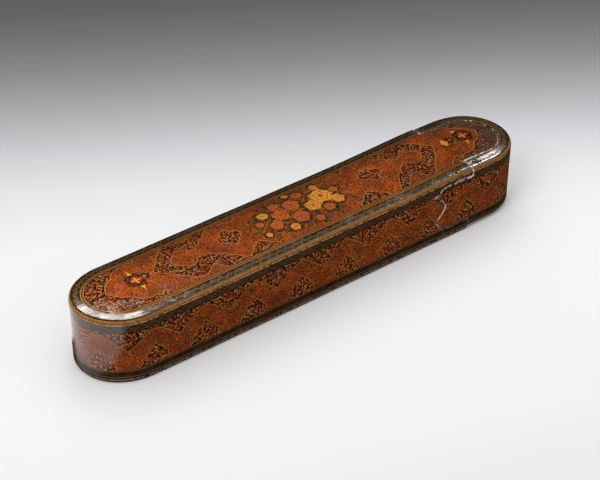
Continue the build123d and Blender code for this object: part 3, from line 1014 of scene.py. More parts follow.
# %% The painter's helper
class Paint(Nodes):
    """The nodes of one material, with masks, layers and the surface that ends it."""

    def above(self, value, limit):
        """One where the value is more than the limit."""
        return self.math("GREATER_THAN", value, limit)

    def below(self, value, limit):
        """One where the value is less than the limit."""
        return self.math("LESS_THAN", value, limit)

    def near(self, value, middle, reach):
        """One where the value lies within reach of the middle."""
        return self.math("COMPARE", value, middle, reach)

    def between(self, value, low, high):
        """One where the value is more than low and less than high."""
        return self.both(self.above(value, low), self.below(value, high))

    def both(self, *masks):
        """The product of the masks, which is one where every mask is one."""
        result = masks[0]
        for mask in masks[1:]:
            result = self.times(result, mask)
        return result

    def either(self, *masks):
        """The greatest of the masks."""
        result = masks[0]
        for mask in masks[1:]:
            result = self.math("MAXIMUM", result, mask)
        return result

    def without(self, mask):
        """One where the mask is zero."""
        return self.minus(1.0, mask)

    def spread(self, value, low, high, to_low=0.0, to_high=1.0):
        """The value carried from one range to another, and held at its ends."""
        inputs = {0: value, 1: low, 2: high, 3: to_low, 4: to_high}
        return self.node("ShaderNodeMapRange", inputs).outputs[0]

    def over(self, below, mask, colour):
        """The colour laid over what is below it, as much as the mask says."""
        inputs = {"Factor": mask, 6: below, 7: colour}
        return self.node("ShaderNodeMix", inputs, data_type="RGBA").outputs[2]

    def thinly(self, below, mask, share, colour):
        """The colour laid over as a thin wash, which covers only a share of what is below."""
        return self.over(below, self.times(mask, share), colour)

    def petals(self, angle, count, turn=None):
        """How far petals reach in a direction.

        It is the cosine, without its sign, of half the count times the angle plus a turn.
        """
        swung = self.times(angle, count / 2)
        if turn is not None:
            swung = self.plus(swung, turn)
        return self.math("ABSOLUTE", self.math("COSINE", swung))

    def bump(self, height, distance, strength=1.0):
        """A normal tilted by a height, whose full step is distance metres."""
        inputs = {"Height": height, "Distance": distance, "Strength": strength}
        return self.node("ShaderNodeBump", inputs).outputs[0]

    def surface(self, **inputs):
        """Ends the material with one layered surface shader and returns the material."""
        named = {key.replace("_", " "): value for key, value in inputs.items()}
        shader = self.node("ShaderNodeBsdfPrincipled", named)
        self.node("ShaderNodeOutputMaterial", {"Surface": shader.outputs[0]})
        return self.material


print("painting:", [name for name in vars(Paint) if not name.startswith("_")])

# %% [markdown]
# ## Patterns around random points
# Most of the ornament repeats one small drawing at scattered places. A cell texture gives every
# point the middle of its nearest cell, so a point's place less that middle is its place in a frame
# of the cell's own. Distance and direction in that frame are enough to draw a petal or a spiral.

# %% Frames of cells
def polar(paint, x, y):
    """Distance and direction of a point from the middle of its own frame."""
    radius = paint.math("SQRT", paint.plus(paint.times(x, x), paint.times(y, y)))
    return radius, paint.math("ARCTAN2", y, x)


def cell_frame(paint, at, scale, spread):
    """The point's distance and direction in the nearest cell's frame, and random numbers.

    The frame is scaled so that cells of any size have their edges about half a unit away.
    """
    cells = paint.cells(at, scale, spread)
    away = paint.vector("SUBTRACT", at, cells.outputs["Position"])
    x, y, _ = paint.split(paint.vector("SCALE", away, scale))
    return *polar(paint, x, y), paint.split(cells.outputs["Color"])


print("a scroll's cell is about", 1 / 0.20, "mm across")

# %% [markdown]
# ## Fine ornament
# Three small patterns fill everything. Scrolls are spirals that wind round random points, thin
# gold on the red ground, with specks of leaf and bud between. Flowers are five petals round random
# points, in reds and orange on black, with olive leaves. The border's vine is a zigzag with a
# leaf in each bend. All run on the pattern's map, in millimetres, so they keep one scale.

# %% Scrolls, flowers and the vine
GOLD, DARK_GOLD = (0.56, 0.22, 0.032), (0.36, 0.115, 0.014)
BLACK, OLIVE = (0.010, 0.008, 0.005), (0.045, 0.042, 0.010)
RED, ORANGE, CREAM = (0.42, 0.055, 0.014), (0.58, 0.15, 0.022), (0.56, 0.34, 0.13)
DOT_BROWN = (0.040, 0.018, 0.006)
SCROLL_CELLS, DOT_CELLS, SPECK_CELLS, FLOWER_CELLS, LEAF_CELLS = 0.20, 1.55, 0.70, 0.78, 1.30
SPECKS = [(0.21, 0.21, (0.022, 0.018, 0.006)), (0.48, 0.05, (0.47, 0.16, 0.022)),
          (0.62, 0.10, (0.44, 0.036, 0.010)), (0.80, 0.07, (0.055, 0.050, 0.016))]
WINDINGS, STEM_HALF_WIDTH, LEAF_RING, LEAF_RING_HALF_WIDTH = 3.6, 0.24, 0.42, 0.13


def scrolls(paint, at, ground):
    """Gold spirals and small dark, red and gold specks over a ground colour.

    A spiral is where the distance from the cell's middle, plus the direction as a share of a full
    turn, comes round to the same fraction. SPECKS gives, for each tint, which random numbers get
    it, as a middle and a reach.
    """
    radius, angle, random = cell_frame(paint, at, SCROLL_CELLS, 0.85)
    turn = paint.times(angle, 1 / (2 * math.pi))
    wound = paint.plus(paint.times(radius, WINDINGS), paint.plus(turn, random[0]))
    wound = paint.math("FRACT", wound)
    colour = paint.thinly(ground, paint.near(wound, 0.25, 0.12), 0.60, DARK_GOLD)
    colour = paint.thinly(colour, paint.near(wound, 0.72, 0.07), 0.55, OLIVE)

    radius, _, random = cell_frame(paint, at, DOT_CELLS, 1.0)
    dot = paint.both(paint.below(radius, 0.30), paint.below(random[0], 0.30))
    colour = paint.over(colour, dot, DOT_BROWN)

    radius, angle, random = cell_frame(paint, at, SPECK_CELLS, 1.0)
    lobes = paint.times(0.08, paint.math("COSINE", paint.times(angle, 3.0)))
    leaf = paint.below(radius, paint.plus(0.25, lobes))
    for middle, reach, tint in SPECKS:
        colour = paint.over(colour, paint.both(leaf, paint.near(random[0], middle, reach)), tint)
    return colour


def flowers(paint, at, ground):
    """Small five-petalled flowers and leaves over a dark ground.

    A petal's edge is a mean radius plus a cosine of five times the direction.
    """
    size, way, pick = cell_frame(paint, at, FLOWER_CELLS, 0.85)
    petals = paint.math("COSINE", paint.plus(paint.times(way, 5.0), paint.times(pick[1], 6.0)))
    bloom = paint.below(size, paint.plus(0.35, paint.times(petals, 0.07)))
    leaf_size, _, choice = cell_frame(paint, at, LEAF_CELLS, 1.0)
    leaf = paint.below(leaf_size, 0.24)
    colour = paint.over(ground, paint.both(leaf, paint.below(choice[0], 0.4)), OLIVE)
    colour = paint.over(colour, paint.both(leaf, paint.above(choice[0], 0.85)), DARK_GOLD)
    tint = paint.over(RED, paint.above(pick[0], 0.42), ORANGE)
    tint = paint.over(tint, paint.above(pick[0], 0.95), CREAM)
    colour = paint.over(colour, bloom, tint)
    return paint.over(colour, paint.below(size, 0.10), BLACK)


def vine(paint, along, across, middle, reach, step):
    """A mask for a zigzag stem with a leaf in each bend, about a middle line.

    The stem is where the height across equals a triangle wave of the length along. A leaf is a
    small oval ring about the middle line, once in each run of the wave.
    """
    wave = paint.math("PINGPONG", along, step / 2)
    stem_at = paint.plus(middle - reach, paint.times(wave, 4 * reach / step))
    stem = paint.near(paint.minus(across, stem_at), 0.0, STEM_HALF_WIDTH)
    half = paint.math("PINGPONG", paint.plus(along, step / 4), step / 4)
    leaf_u = paint.times(paint.minus(half, step / 8), 1.5)
    leaf_v = paint.times(paint.minus(across, middle), 0.75)
    leaf, _ = polar(paint, leaf_u, leaf_v)
    return paint.either(stem, paint.near(leaf, LEAF_RING, LEAF_RING_HALF_WIDTH))


print("small flowers stand about", round(1 / FLOWER_CELLS, 1), "mm apart")

# %% [markdown]
# ## Large flowers
# A rose is rings of petals, and each ring's edge swings with the direction and is turned a little
# against the last. Inside a ring the colour runs from a lit edge to a deep fold with a thin dark
# line. The flowers at the ends have a dark lobed outline, a red heart and a gold star. Noise bends
# the outlines, as a hand with a fine brush would.

# %% Roses and end flowers
FOLD_SHADOW, ROSE_HEART = (0.07, 0.014, 0.008), (0.25, 0.05, 0.012)
ROSE_OUTLINE, STAR_GOLD = (0.018, 0.016, 0.008), (0.74, 0.26, 0.035)
WARM_LIGHT, WARM_DEEP = (0.74, 0.31, 0.036), (0.50, 0.12, 0.013)
HOT_LIGHT, HOT_DEEP = (0.58, 0.14, 0.018), (0.24, 0.022, 0.008)
CUSPED_HEART, CUSPED_BEAD = (0.33, 0.034, 0.012), (0.16, 0.060, 0.016)
PETAL_REACH, PETAL_SWING, OUTLINE_WIDTH, PARTING_WIDTH = 0.80, 0.16, 0.10, 0.07
UNSTEADY, HEART_RADIUS, STAR_CORE, STAR_RAY = 0.45, 0.13, 0.10, 0.32
RINGS_IN_ROSE, RING_TURN, RING_SWING, LIT_POWER, FOLD_FROM = 3.0, 1.9, 0.45, 1.6, 0.87


def rose(paint, radius, angle, light, deep):
    """Three rings of petals.

    Three times the radius is a ring's number and, after the point, how far out in the ring the
    point lies. The number turns the ring's petals, and the petals' swing moves its edge.
    """
    share = paint.times(radius, RINGS_IN_ROSE)
    ring = paint.math("FLOOR", share)
    swing = paint.petals(angle, 5, paint.times(ring, RING_TURN))
    part = paint.math("FRACT", paint.plus(share, paint.times(swing, RING_SWING)))
    colour = paint.over(light, paint.math("POWER", part, LIT_POWER), deep)
    return paint.thinly(colour, paint.above(part, FOLD_FROM), 0.8, FOLD_SHADOW)


def large_flowers(paint, ground, shade):
    """The end flowers and the spray of roses, from each point's place in its nearest flower."""
    frame_x, frame_y, kind = paint.split(paint.stored("flower", "Vector"))
    radius, angle = polar(paint, frame_x, frame_y)
    radius = paint.plus(radius, paint.times(paint.minus(shade, 0.5), UNSTEADY))
    swing = paint.petals(angle, 5)
    edge = paint.plus(PETAL_REACH, paint.times(swing, PETAL_SWING))
    is_kind = {value: paint.near(kind, value, 0.1) for value in (ROSE, BLOSSOM, CUSPED, STAR)}

    warm = rose(paint, radius, angle, WARM_LIGHT, WARM_DEEP)
    hot = rose(paint, radius, angle, HOT_LIGHT, HOT_DEEP)
    petals = paint.over(warm, is_kind[BLOSSOM], hot)
    petals = paint.over(petals, paint.below(radius, HEART_RADIUS), ROSE_HEART)
    spray = paint.either(is_kind[ROSE], is_kind[BLOSSOM])
    outlined = paint.below(radius, paint.plus(edge, OUTLINE_WIDTH))
    colour = paint.over(ground, paint.both(spray, outlined), ROSE_OUTLINE)
    parted = paint.both(paint.below(radius, edge),
                        paint.above(paint.stored("parting"), PARTING_WIDTH))
    colour = paint.over(colour, paint.both(spray, parted), petals)

    rays = paint.petals(angle, 4)
    star_edge = paint.plus(STAR_CORE, paint.times(paint.math("POWER", rays, 3.0), STAR_RAY))
    star = paint.below(radius, star_edge)
    cusped = paint.over(CUSPED_HEART, paint.above(radius, 0.50), BLACK)
    bead = paint.both(paint.near(radius, 0.70, 0.07), paint.above(swing, 0.45))
    cusped = paint.over(paint.over(cusped, bead, CUSPED_BEAD), star, STAR_GOLD)
    colour = paint.over(colour, paint.both(is_kind[CUSPED], paint.below(radius, edge)), cusped)

    lobes = paint.plus(0.76, paint.times(rays, 0.2))
    small = paint.over(paint.over(BLACK, star, GOLD), paint.near(radius, 0.62, 0.08), OLIVE)
    return paint.over(colour, paint.both(is_kind[STAR], paint.below(radius, lobes)), small)


print("petals reach", PETAL_REACH, "to", round(PETAL_REACH + PETAL_SWING, 2), "of a flower's radius")

# %% [markdown]
# ## The ground and the dark areas
# The layers of paint go on in the painter's order: first the red-brown ground with its scrolls,
# then the dark areas with their flowers and a thin gold outline. Every layer needs the same few
# lengths and noises, so a second helper keeps them. An unsteady hand is a little noise added to a
# length before it is cut, and one noise for all the outlines keeps them moving together.

# %% Ground and dark areas
# The walls' red ground and gold edging are darker copies of the top's, as painted shade.
TOP_RED, TOP_RED_DEEP = (0.45, 0.072, 0.006), (0.22, 0.030, 0.005)
SHADED_WALL_RED, SHADED_WALL_RED_DEEP = (0.33, 0.052, 0.006), (0.16, 0.022, 0.005)
TOP_EDGING, SHADED_WALL_EDGING = (0.52, 0.19, 0.026), (0.42, 0.145, 0.020)
FLOWER_GROUND, FADED = (0.030, 0.016, 0.008), (0.060, 0.050, 0.034)
EDGING_AT, EDGING_HALF_WIDTH, FLOWERS_FROM = 0.17, 0.18, -0.36


class Lacquer(Paint):
    """Paint for a shell, with the lengths and noises that its layers share."""

    def __init__(self, name):
        super().__init__(name)
        self.at, self.here = self.pattern_map(), self.place()
        self.along = self.split(self.at)[0]
        self.x, self.y, self.z = self.split(self.here)
        self.girth = self.stored("girth")
        self.on_field = self.above(self.girth, TOP_FIELD)
        self.on_top = self.above(self.girth, 0.0)
        self.mottle = self.noise(self.here, 150.0, 4.0, 0.65)
        self.patches = self.spread(self.noise(self.here, 260.0), 0.4, 0.6)
        self.shade = self.noise(self.here, 900.0)
        self.grain = self.noise(self.here, 1500.0, 3.0, 0.7)
        self.hand = self.times(self.minus(self.shade, 0.5), 0.30)
        self.line = self.plus(self.girth, self.times(self.hand, 0.5))

    def ruled(self, *rules):
        """A mask for lines ruled round the box, each a place along the girth and half a width."""
        return self.either(*[self.near(self.line, at, half_width) for at, half_width in rules])


def red_ground(paint):
    """The mottled red-brown ground and its scrolls, darker on the walls as painted shade."""
    mottled = paint.spread(paint.mottle, 0.38, 0.62)
    top = paint.over(TOP_RED, mottled, TOP_RED_DEEP)
    # The walls' ground is a darker copy of the top's, as painted shade.
    wall = paint.over(SHADED_WALL_RED, mottled, SHADED_WALL_RED_DEEP)
    return scrolls(paint, paint.at, paint.over(wall, paint.on_field, top))


def dark_areas(paint, colour):
    """The dark flowered areas, from their signed distance: gold edge, black line, flowers.

    Towards the tip of the tongue the flowers fade to grey-brown.
    """
    outline = paint.plus(paint.stored("dark"), paint.hand)
    # The gold edging on the walls is darker than on the top, as painted shade.
    edging = paint.over(SHADED_WALL_EDGING, paint.on_field, TOP_EDGING)
    colour = paint.over(colour, paint.near(outline, EDGING_AT, EDGING_HALF_WIDTH), edging)
    colour = paint.over(colour, paint.below(outline, 0.0), BLACK)
    flowered = flowers(paint, paint.at, paint.over(BLACK, paint.patches, FLOWER_GROUND))
    at_tongue = paint.both(paint.on_field, paint.spread(paint.x, 0.088, 0.100))
    flowered = paint.thinly(flowered, at_tongue, 0.65, FADED)
    return paint.over(colour, paint.below(outline, FLOWERS_FROM), flowered)


print("the gold edging is", 2 * EDGING_HALF_WIDTH, "mm wide")

# %% [markdown]
# ## Roses in the middle of the top
# A bed of dark foliage lies under the roses, wider here and narrower there. Leaves stick out of
# it, each with a dark outline and a lit line along its edge. Then come the flowers, and the gold
# fins beside the end flowers. All this is painted only on the field of the top.

# %% Foliage, flowers and gold
LEAF_BLACK, LEAF_GREEN, LEAF_LIT = (0.014, 0.014, 0.007), (0.050, 0.050, 0.014), (0.20, 0.11, 0.022)
FOLIAGE, BRIGHT_GOLD = (0.085, 0.062, 0.012), (0.72, 0.30, 0.040)
BED_NARROW, BED_WIDE, LEAF_OUTLINE = -0.4, 2.2, 0.14


def single_flowers(paint, colour):
    """Everything on the top's field that is drawn once: foliage, leaves, flowers, gold."""
    reach = paint.spread(paint.shade, 0.3, 0.7, BED_NARROW, BED_WIDE)
    bed = paint.below(paint.minus(paint.stored("bed"), reach), 0.0)
    foliage = paint.over(LEAF_BLACK, paint.spread(paint.grain, 0.45, 0.62), FOLIAGE)
    drawn = paint.over(colour, bed, foliage)
    leaf = paint.stored("leaf")
    drawn = paint.over(drawn, paint.below(leaf, LEAF_OUTLINE), LEAF_BLACK)
    lit = paint.over(LEAF_GREEN, paint.near(leaf, -0.40, 0.12), LEAF_LIT)
    drawn = paint.over(drawn, paint.below(leaf, -LEAF_OUTLINE), lit)
    drawn = large_flowers(paint, drawn, paint.noise(paint.here, 1300.0, 2.0))
    gold = paint.below(paint.plus(paint.stored("gold"), paint.hand), 0.0)
    colour = paint.over(colour, paint.on_field, drawn)
    return paint.over(colour, paint.both(paint.on_field, gold), BRIGHT_GOLD)


print("the bed of foliage reaches up to", BED_WIDE, "mm past the roses")

# %% [markdown]
# ## Ruled borders
# The borders are ruled round the whole box: on the top a dark band with a vine and two gold
# rules, on the rim a plain gold-brown band, and on the wall a dark band above and one below. Each
# is a range of the girth, so a list of places and half widths in millimetres says it all. A vine
# is given by its middle, its reach to either side and the length of one step.

# %% Borders of the top and the walls
BORDER_DARK, BORDER_BROWN = (0.020, 0.014, 0.007), (0.038, 0.026, 0.012)
VINE_GOLD, RIM_LINE = (0.24, 0.112, 0.025), (0.030, 0.014, 0.006)
RULE_GOLD, RIM_GOLD, RIM_BROWN = (0.36, 0.135, 0.024), (0.42, 0.165, 0.026), (0.22, 0.080, 0.015)
WALL_DARK, WALL_BROWN = (0.020, 0.010, 0.005), (0.040, 0.020, 0.009)
# FOOT_HIGHLIGHT is a painted highlight: a broken pale line along the wall's rounded foot.
UPPER_GOLD, LOWER_GOLD, FOOT_HIGHLIGHT = (0.14, 0.066, 0.018), (0.20, 0.090, 0.026), (0.30, 0.20, 0.14)
UNDER_DARK, UNDER_SCUFF = (0.050, 0.022, 0.010), (0.15, 0.085, 0.045)
TOP_BAND, TOP_RULES_ON, TOP_RULES = (0.5, 4.5), (4.1, 6.3), [(4.75, 0.30), (5.75, 0.27)]
RIM_BAND, UPPER_BAND, UPPER_RULES = (-1.3, 0.62), (-5.2, -1.3), [(-1.7, 0.12), (-4.4, 0.16)]
LOWER_BAND_FROM, LOWER_RULES, UNDERSIDE_FROM = -23.9, [(-24.3, 0.16), (-27.2, 0.18)], -29.0
TOP_VINE, UPPER_VINE = (2.6, 1.25, 4.2), (-3.0, 1.0, 5.2)


def top_border(paint, colour):
    """The vine's dark band round the top, and two gold rules on black inside it."""
    band = paint.between(paint.line, *TOP_BAND)
    colour = paint.over(colour, band, paint.over(BORDER_DARK, paint.patches, BORDER_BROWN))
    stem = vine(paint, paint.along, paint.line, *TOP_VINE)
    stem = paint.both(stem, paint.above(paint.grain, 0.42))
    colour = paint.over(colour, paint.both(band, stem), VINE_GOLD)
    colour = paint.over(colour, paint.between(paint.line, *TOP_RULES_ON), BLACK)
    return paint.over(colour, paint.ruled(*TOP_RULES), RULE_GOLD)


def wall_borders(paint, colour):
    """The rim's band, below it the wall's upper and lower dark bands with faint gold, and a painted
    highlight along the foot.
    """
    dark = paint.over(WALL_DARK, paint.patches, WALL_BROWN)
    rim = paint.over(RIM_GOLD, paint.spread(paint.grain, 0.42, 0.60), RIM_BROWN)
    colour = paint.over(colour, paint.between(paint.line, *RIM_BAND), rim)
    colour = paint.over(colour, paint.ruled((0.72, 0.14)), BLACK)
    colour = paint.over(colour, paint.ruled((-0.92, 0.16)), RIM_LINE)

    upper = paint.between(paint.line, *UPPER_BAND)
    colour = paint.over(colour, upper, dark)
    stem = paint.times(vine(paint, paint.along, paint.line, *UPPER_VINE), 0.8)
    faint = paint.either(paint.ruled(*UPPER_RULES), stem)
    colour = paint.over(colour, paint.both(upper, faint), UPPER_GOLD)
    colour = paint.over(colour, paint.ruled((-5.0, 0.22)), BLACK)

    lower = paint.below(paint.line, LOWER_BAND_FROM)
    colour = paint.over(colour, lower, dark)
    colour = paint.over(colour, paint.both(lower, paint.ruled(*LOWER_RULES)), LOWER_GOLD)
    # Painted highlight: a broken pale line along the wall's rounded foot.
    foot = paint.both(paint.ruled((-28.5, 0.26)), paint.below(paint.shade, 0.56))
    return paint.over(colour, foot, FOOT_HIGHLIGHT)


def underside(paint, colour):
    """Plain dark brown below, with scuffs drawn out along the box."""
    drawn_out = paint.vector("MULTIPLY", paint.here, (0.25, 1.0, 1.0))
    scuffs = paint.spread(paint.noise(drawn_out, 420.0, 4.0, 0.7), 0.50, 0.66)
    scuffed = paint.over(UNDER_DARK, scuffs, UNDER_SCUFF)
    return paint.over(colour, paint.below(paint.line, UNDERSIDE_FROM), scuffed)


print("gold rules on the top at", [at for at, _ in TOP_RULES], "mm from the rim")

# %% [markdown]
# ## Tone, painted light and wear
# The paint's tone is cloudy. On the top, painted light brightens the left end and painted shade
# darkens the far side, and the top is darker towards the tongue. A pale line along the rim's lower
# edge is a painted highlight. Grime lies about the joint, and at the joint's edges the paint is
# lost and the pale ground coat shows. Wear is noise cut at a limit that rises towards an edge,
# because chips are dense right at an edge and rare a little way off.

# %% Tone, grime and lost paint
GROUND_COAT, COAT_STAINED = (0.92, 0.80, 0.68), (0.40, 0.27, 0.18)
COAT_AT_FOOT, GRIME = (0.11, 0.065, 0.042), (0.075, 0.058, 0.044)
# PAINTED_LIGHT_LEFT brightens the top's left end as painted light, PAINTED_SHADE_FAR darkens its far
# side as painted shade.
CLOUDY, PAINTED_LIGHT_LEFT = (0.3, 0.7, 0.82, 1.16), (-0.088, -0.060, 1.40, 1.0)
DULL_TONGUE, PAINTED_SHADE_FAR = (0.040, 0.088, 1.0, 0.74), (0.007, 0.0165, 1.0, 0.55)
LOSS_LIMIT, AT_FOOT = (0.20, 0.85, 0.57, 0.22), (0.0055, 0.0110, 0.92, 0.0)
# The first pale rim line is a painted highlight along the rim's lower edge, drawn as rubbed paint;
# the second is rubbed paint on the rim's top.
RIM_HIGHLIGHT_AND_RUB = [(-1.25, 0.18, 0.52, (0.60, 0.40, 0.28)), (0.0, 0.7, 0.34, (0.30, 0.20, 0.12))]
CRACK_DARK, CRACK_X, CRACK_HALF_WIDTH = (0.012, 0.007, 0.005), 0.0788, 0.00016
CRACK_Y, CRACK_HALF_LENGTH, GRIME_REACH = 0.001, 0.0072, 3.2


def tone_and_painted_light(paint, colour):
    """The colour times a cloudy tone, and on the top also times painted light and shade by place."""
    cloudy = paint.spread(paint.noise(paint.here, 45.0, 4.0, 0.6), *CLOUDY)
    # Painted light at the left end, painted shade along the far side, and darker towards the tongue.
    place = paint.times(paint.spread(paint.x, *PAINTED_LIGHT_LEFT), paint.spread(paint.x, *DULL_TONGUE))
    place = paint.times(place, paint.spread(paint.y, *PAINTED_SHADE_FAR))
    top = paint.spread(paint.girth, 0.0, 1.0)
    tone = paint.plus(paint.without(top), paint.times(top, place))
    return paint.vector("SCALE", colour, paint.times(cloudy, tone))


def worn_places(paint, colour):
    """Grime, paint lost along the joint, a painted highlight and rubbed paint on the rim, and one
    crack.

    A tuple of four numbers says from what to what a length or a noise is spread. Returns the
    colour, and a mask of where the paint is gone.
    """
    worn = paint.stored("worn")
    loss = paint.noise(paint.here, 620.0, 4.0, 0.65)
    bare = paint.below(loss, paint.spread(worn, *LOSS_LIMIT))
    pale = paint.over(GROUND_COAT, paint.spread(loss, 0.36, 0.60), COAT_STAINED)
    pale = paint.over(pale, paint.spread(paint.z, *AT_FOOT), COAT_AT_FOOT)
    grimed = paint.both(paint.below(worn, GRIME_REACH), paint.above(paint.mottle, 0.47),
                        paint.on_top)
    colour = paint.thinly(colour, grimed, 0.55, GRIME)
    colour = paint.over(colour, bare, pale)
    # Pale lines on the rim: a painted highlight along its lower edge, and rubbed paint along its
    # top.
    for at, reach, limit, rubbed in RIM_HIGHLIGHT_AND_RUB:
        on_rim = paint.both(paint.near(paint.girth, at, reach), paint.below(loss, limit))
        colour = paint.over(colour, on_rim, rubbed)
    crack_at = paint.plus(paint.x, paint.times(paint.hand, 0.0025))
    crack = paint.both(paint.near(crack_at, CRACK_X, CRACK_HALF_WIDTH),
                       paint.near(paint.y, CRACK_Y, CRACK_HALF_LENGTH), paint.on_top)
    return paint.over(colour, crack, CRACK_DARK), bare


print("the crack across the top is", 2 * CRACK_HALF_LENGTH / MM, "mm long")

# %% [markdown]
# ## Varnish
# Over the paint lies a clear varnish, and it is what shines. It is a coat of its own over matt
# paint. It is a little uneven, it swells over the border, and it is gone where the paint is. Fine
# cracks run through the paint below it, drawn as the edges of random cells.

# %% The lacquer material
PAINT_ROUGHNESS, VARNISH_IOR = 0.60, 1.48
VARNISH_WEIGHT, BARE_VARNISH = 0.90, 0.05


def varnished(paint, colour, bare):
    """Ends the material: matt paint with fine cracks and chips, under an uneven clear coat."""
    cells = paint.cells(paint.here, 260.0, 1.0, "DISTANCE_TO_EDGE", "3D")
    cracks = paint.spread(cells.outputs["Distance"], 0.0, 0.05)
    height = paint.plus(paint.times(paint.noise(paint.here, 300.0, 3.0), 0.7),
                        paint.times(cracks, 0.15))
    height = paint.minus(height, paint.times(bare, 0.8))
    swell = paint.spread(paint.girth, 0.6, 4.4, 0.0, 5.0)
    uneven = paint.plus(paint.noise(paint.here, 260.0, 4.0, 0.6), swell)
    dull = paint.noise(paint.here, 160.0, 4.0, 0.6)
    return paint.surface(
        Base_Color=colour,
        Roughness=PAINT_ROUGHNESS,
        Specular_IOR_Level=0.0,
        Normal=paint.bump(height, 0.00006, 0.7),
        Coat_Weight=paint.spread(bare, 0.0, 1.0, VARNISH_WEIGHT, BARE_VARNISH),
        Coat_Roughness=paint.spread(dull, 0.35, 0.65, 0.06, 0.24),
        Coat_IOR=VARNISH_IOR,
        Coat_Normal=paint.bump(uneven, 0.00010, 0.9),
    )


def painted_lacquer(name):
    """The whole painted surface of a shell as one material, layer over layer."""
    paint = Lacquer(name)
    colour = dark_areas(paint, red_ground(paint))
    colour = top_border(paint, single_flowers(paint, colour))
    colour = underside(paint, wall_borders(paint, colour))
    colour, bare = worn_places(paint, tone_and_painted_light(paint, colour))
    return varnished(paint, colour, bare)


lacquer = painted_lacquer("painted_lacquer")
print("lacquer has", len(lacquer.node_tree.nodes), "nodes")

# %% [markdown]
# ## Raw edges and the inner lacquer
# Where the shells are cut apart, the layers of paper show end on, brown and fibrous. Inside they
# are lacquered plain dark red, with the strokes of a wide brush along the box. A shell has three
# materials, and each face takes one by the number it was given when the faces were sorted.

# %% Raw edges and the inner lacquer
PAPER_BROWN, PAPER_PALE, PAPER_LINE = (0.20, 0.13, 0.075), (0.44, 0.33, 0.22), (0.10, 0.06, 0.035)
LINING_RED, LINING_DARK = (0.150, 0.022, 0.012), (0.060, 0.010, 0.007)
FLECK_GOLD, CORNER_PALE = (0.50, 0.26, 0.06), (0.30, 0.16, 0.09)
LAYERS_PER_METRE = 2600.0


def raw_edge():
    """Layers of paper seen end on, greyed with handling."""
    paint = Paint("raw_paper_edge")
    place = paint.place()
    height = paint.times(paint.split(place)[2], LAYERS_PER_METRE)
    layers = paint.math("FRACT", paint.plus(height, paint.noise(place, 300.0)))
    fibre = paint.noise(place, 900.0, 4.0, 0.7)
    colour = paint.over(PAPER_BROWN, paint.spread(fibre, 0.3, 0.7), PAPER_PALE)
    colour = paint.thinly(colour, paint.below(layers, 0.3), 0.5, PAPER_LINE)
    normal = paint.bump(paint.plus(fibre, layers), 0.00008, 0.8)
    return paint.surface(Base_Color=colour, Roughness=0.85, Specular_IOR_Level=0.2, Normal=normal)


def brushed_red(paint, place, red, dark, streaked):
    """Red lacquer with dark clouds and brush streaks: its colour, its clouds and its normal.

    Noise that is squeezed along the box gives the streaks.
    """
    streak = paint.noise(paint.vector("MULTIPLY", place, (0.12, 1.0, 1.0)), 700.0, 3.0, 0.6)
    cloud = paint.noise(place, 60.0, 4.0, 0.6)
    colour = paint.over(red, paint.spread(cloud, 0.35, 0.7), dark)
    colour = paint.over(colour, paint.spread(streak, 0.5, 0.8, 0.0, 0.4), streaked)
    return colour, cloud, paint.bump(paint.plus(streak, cloud), 0.00008, 0.6)


def inner_lacquer(name):
    """Plain dark red lacquer with brush streaks, small gold flecks and rubbed corners."""
    paint = Paint(name)
    place = paint.place()
    colour, cloud, normal = brushed_red(paint, place, LINING_RED, LINING_DARK, LINING_DARK)
    flecks = paint.cells(place, 700.0, dimensions="3D")
    chosen = paint.split(flecks.outputs["Color"])[0]
    fleck = paint.both(paint.below(flecks.outputs["Distance"], 0.20), paint.above(chosen, 0.93))
    colour = paint.over(colour, fleck, FLECK_GOLD)
    corner = paint.node("ShaderNodeNewGeometry").outputs["Pointiness"]
    colour = paint.over(colour, paint.spread(corner, 0.52, 0.56, 0.0, 0.7), CORNER_PALE)
    rough = paint.spread(cloud, 0.3, 0.7, 0.30, 0.50)
    return paint.surface(Base_Color=colour, Roughness=rough, Specular_IOR_Level=0.35, Normal=normal)


paper, lining = raw_edge(), inner_lacquer("inner_lacquer")
for piece in (case, head):
    piece.data.materials.clear()
    for material in (lacquer, paper, lining):
        piece.data.materials.append(material)
    print(piece.name, "has", [material.name for material in piece.data.materials])

# %% [markdown]
# ## The drawer's lining and the brass inkwell
# These pieces keep their CAD shape and get their own materials. The tray is plain dark red
# lacquer with a gold vine ruled along its walls and ink stains near the well. The inkwell is thin
# sheet brass, engraved with rings and petals and browned where no hand rubs it. Engraving is only
# a bump and a dark line: a thin groove is a small step down in height, which tilts the normal.

# %% Inner materials
BRASS, BRASS_BROWN = (0.47, 0.27, 0.090), (0.23, 0.120, 0.045)
GROOVE_DARK, TARNISH = (0.060, 0.030, 0.012), (0.10, 0.075, 0.035)
RINGS = [(0.38, 0.016), (0.86, 0.016), (0.94, 0.012)]
TRAY_RED, TRAY_STREAK = (0.165, 0.024, 0.012), (0.045, 0.008, 0.006)
TRAY_GOLD, TRAY_WORN, INK = (0.42, 0.20, 0.045), (0.26, 0.17, 0.11), (0.012, 0.010, 0.010)
TRAY_RULES, TRAY_VINE = [(-1.0, 0.16), (-5.0, 0.12)], (-3.0, 1.1, 5.0)
INKED_FROM, INK_SHARE = 88.0, 0.85


def face_up(paint):
    """One on faces that look up on their own object, zero on walls."""
    normal = paint.node("ShaderNodeTexCoord").outputs["Normal"]
    return paint.spread(paint.split(normal)[2], 0.5, 0.8)


def in_millimetres(paint, place):
    """The three parts of a place, in millimetres."""
    return [paint.times(part, 1 / MM) for part in paint.split(place)]


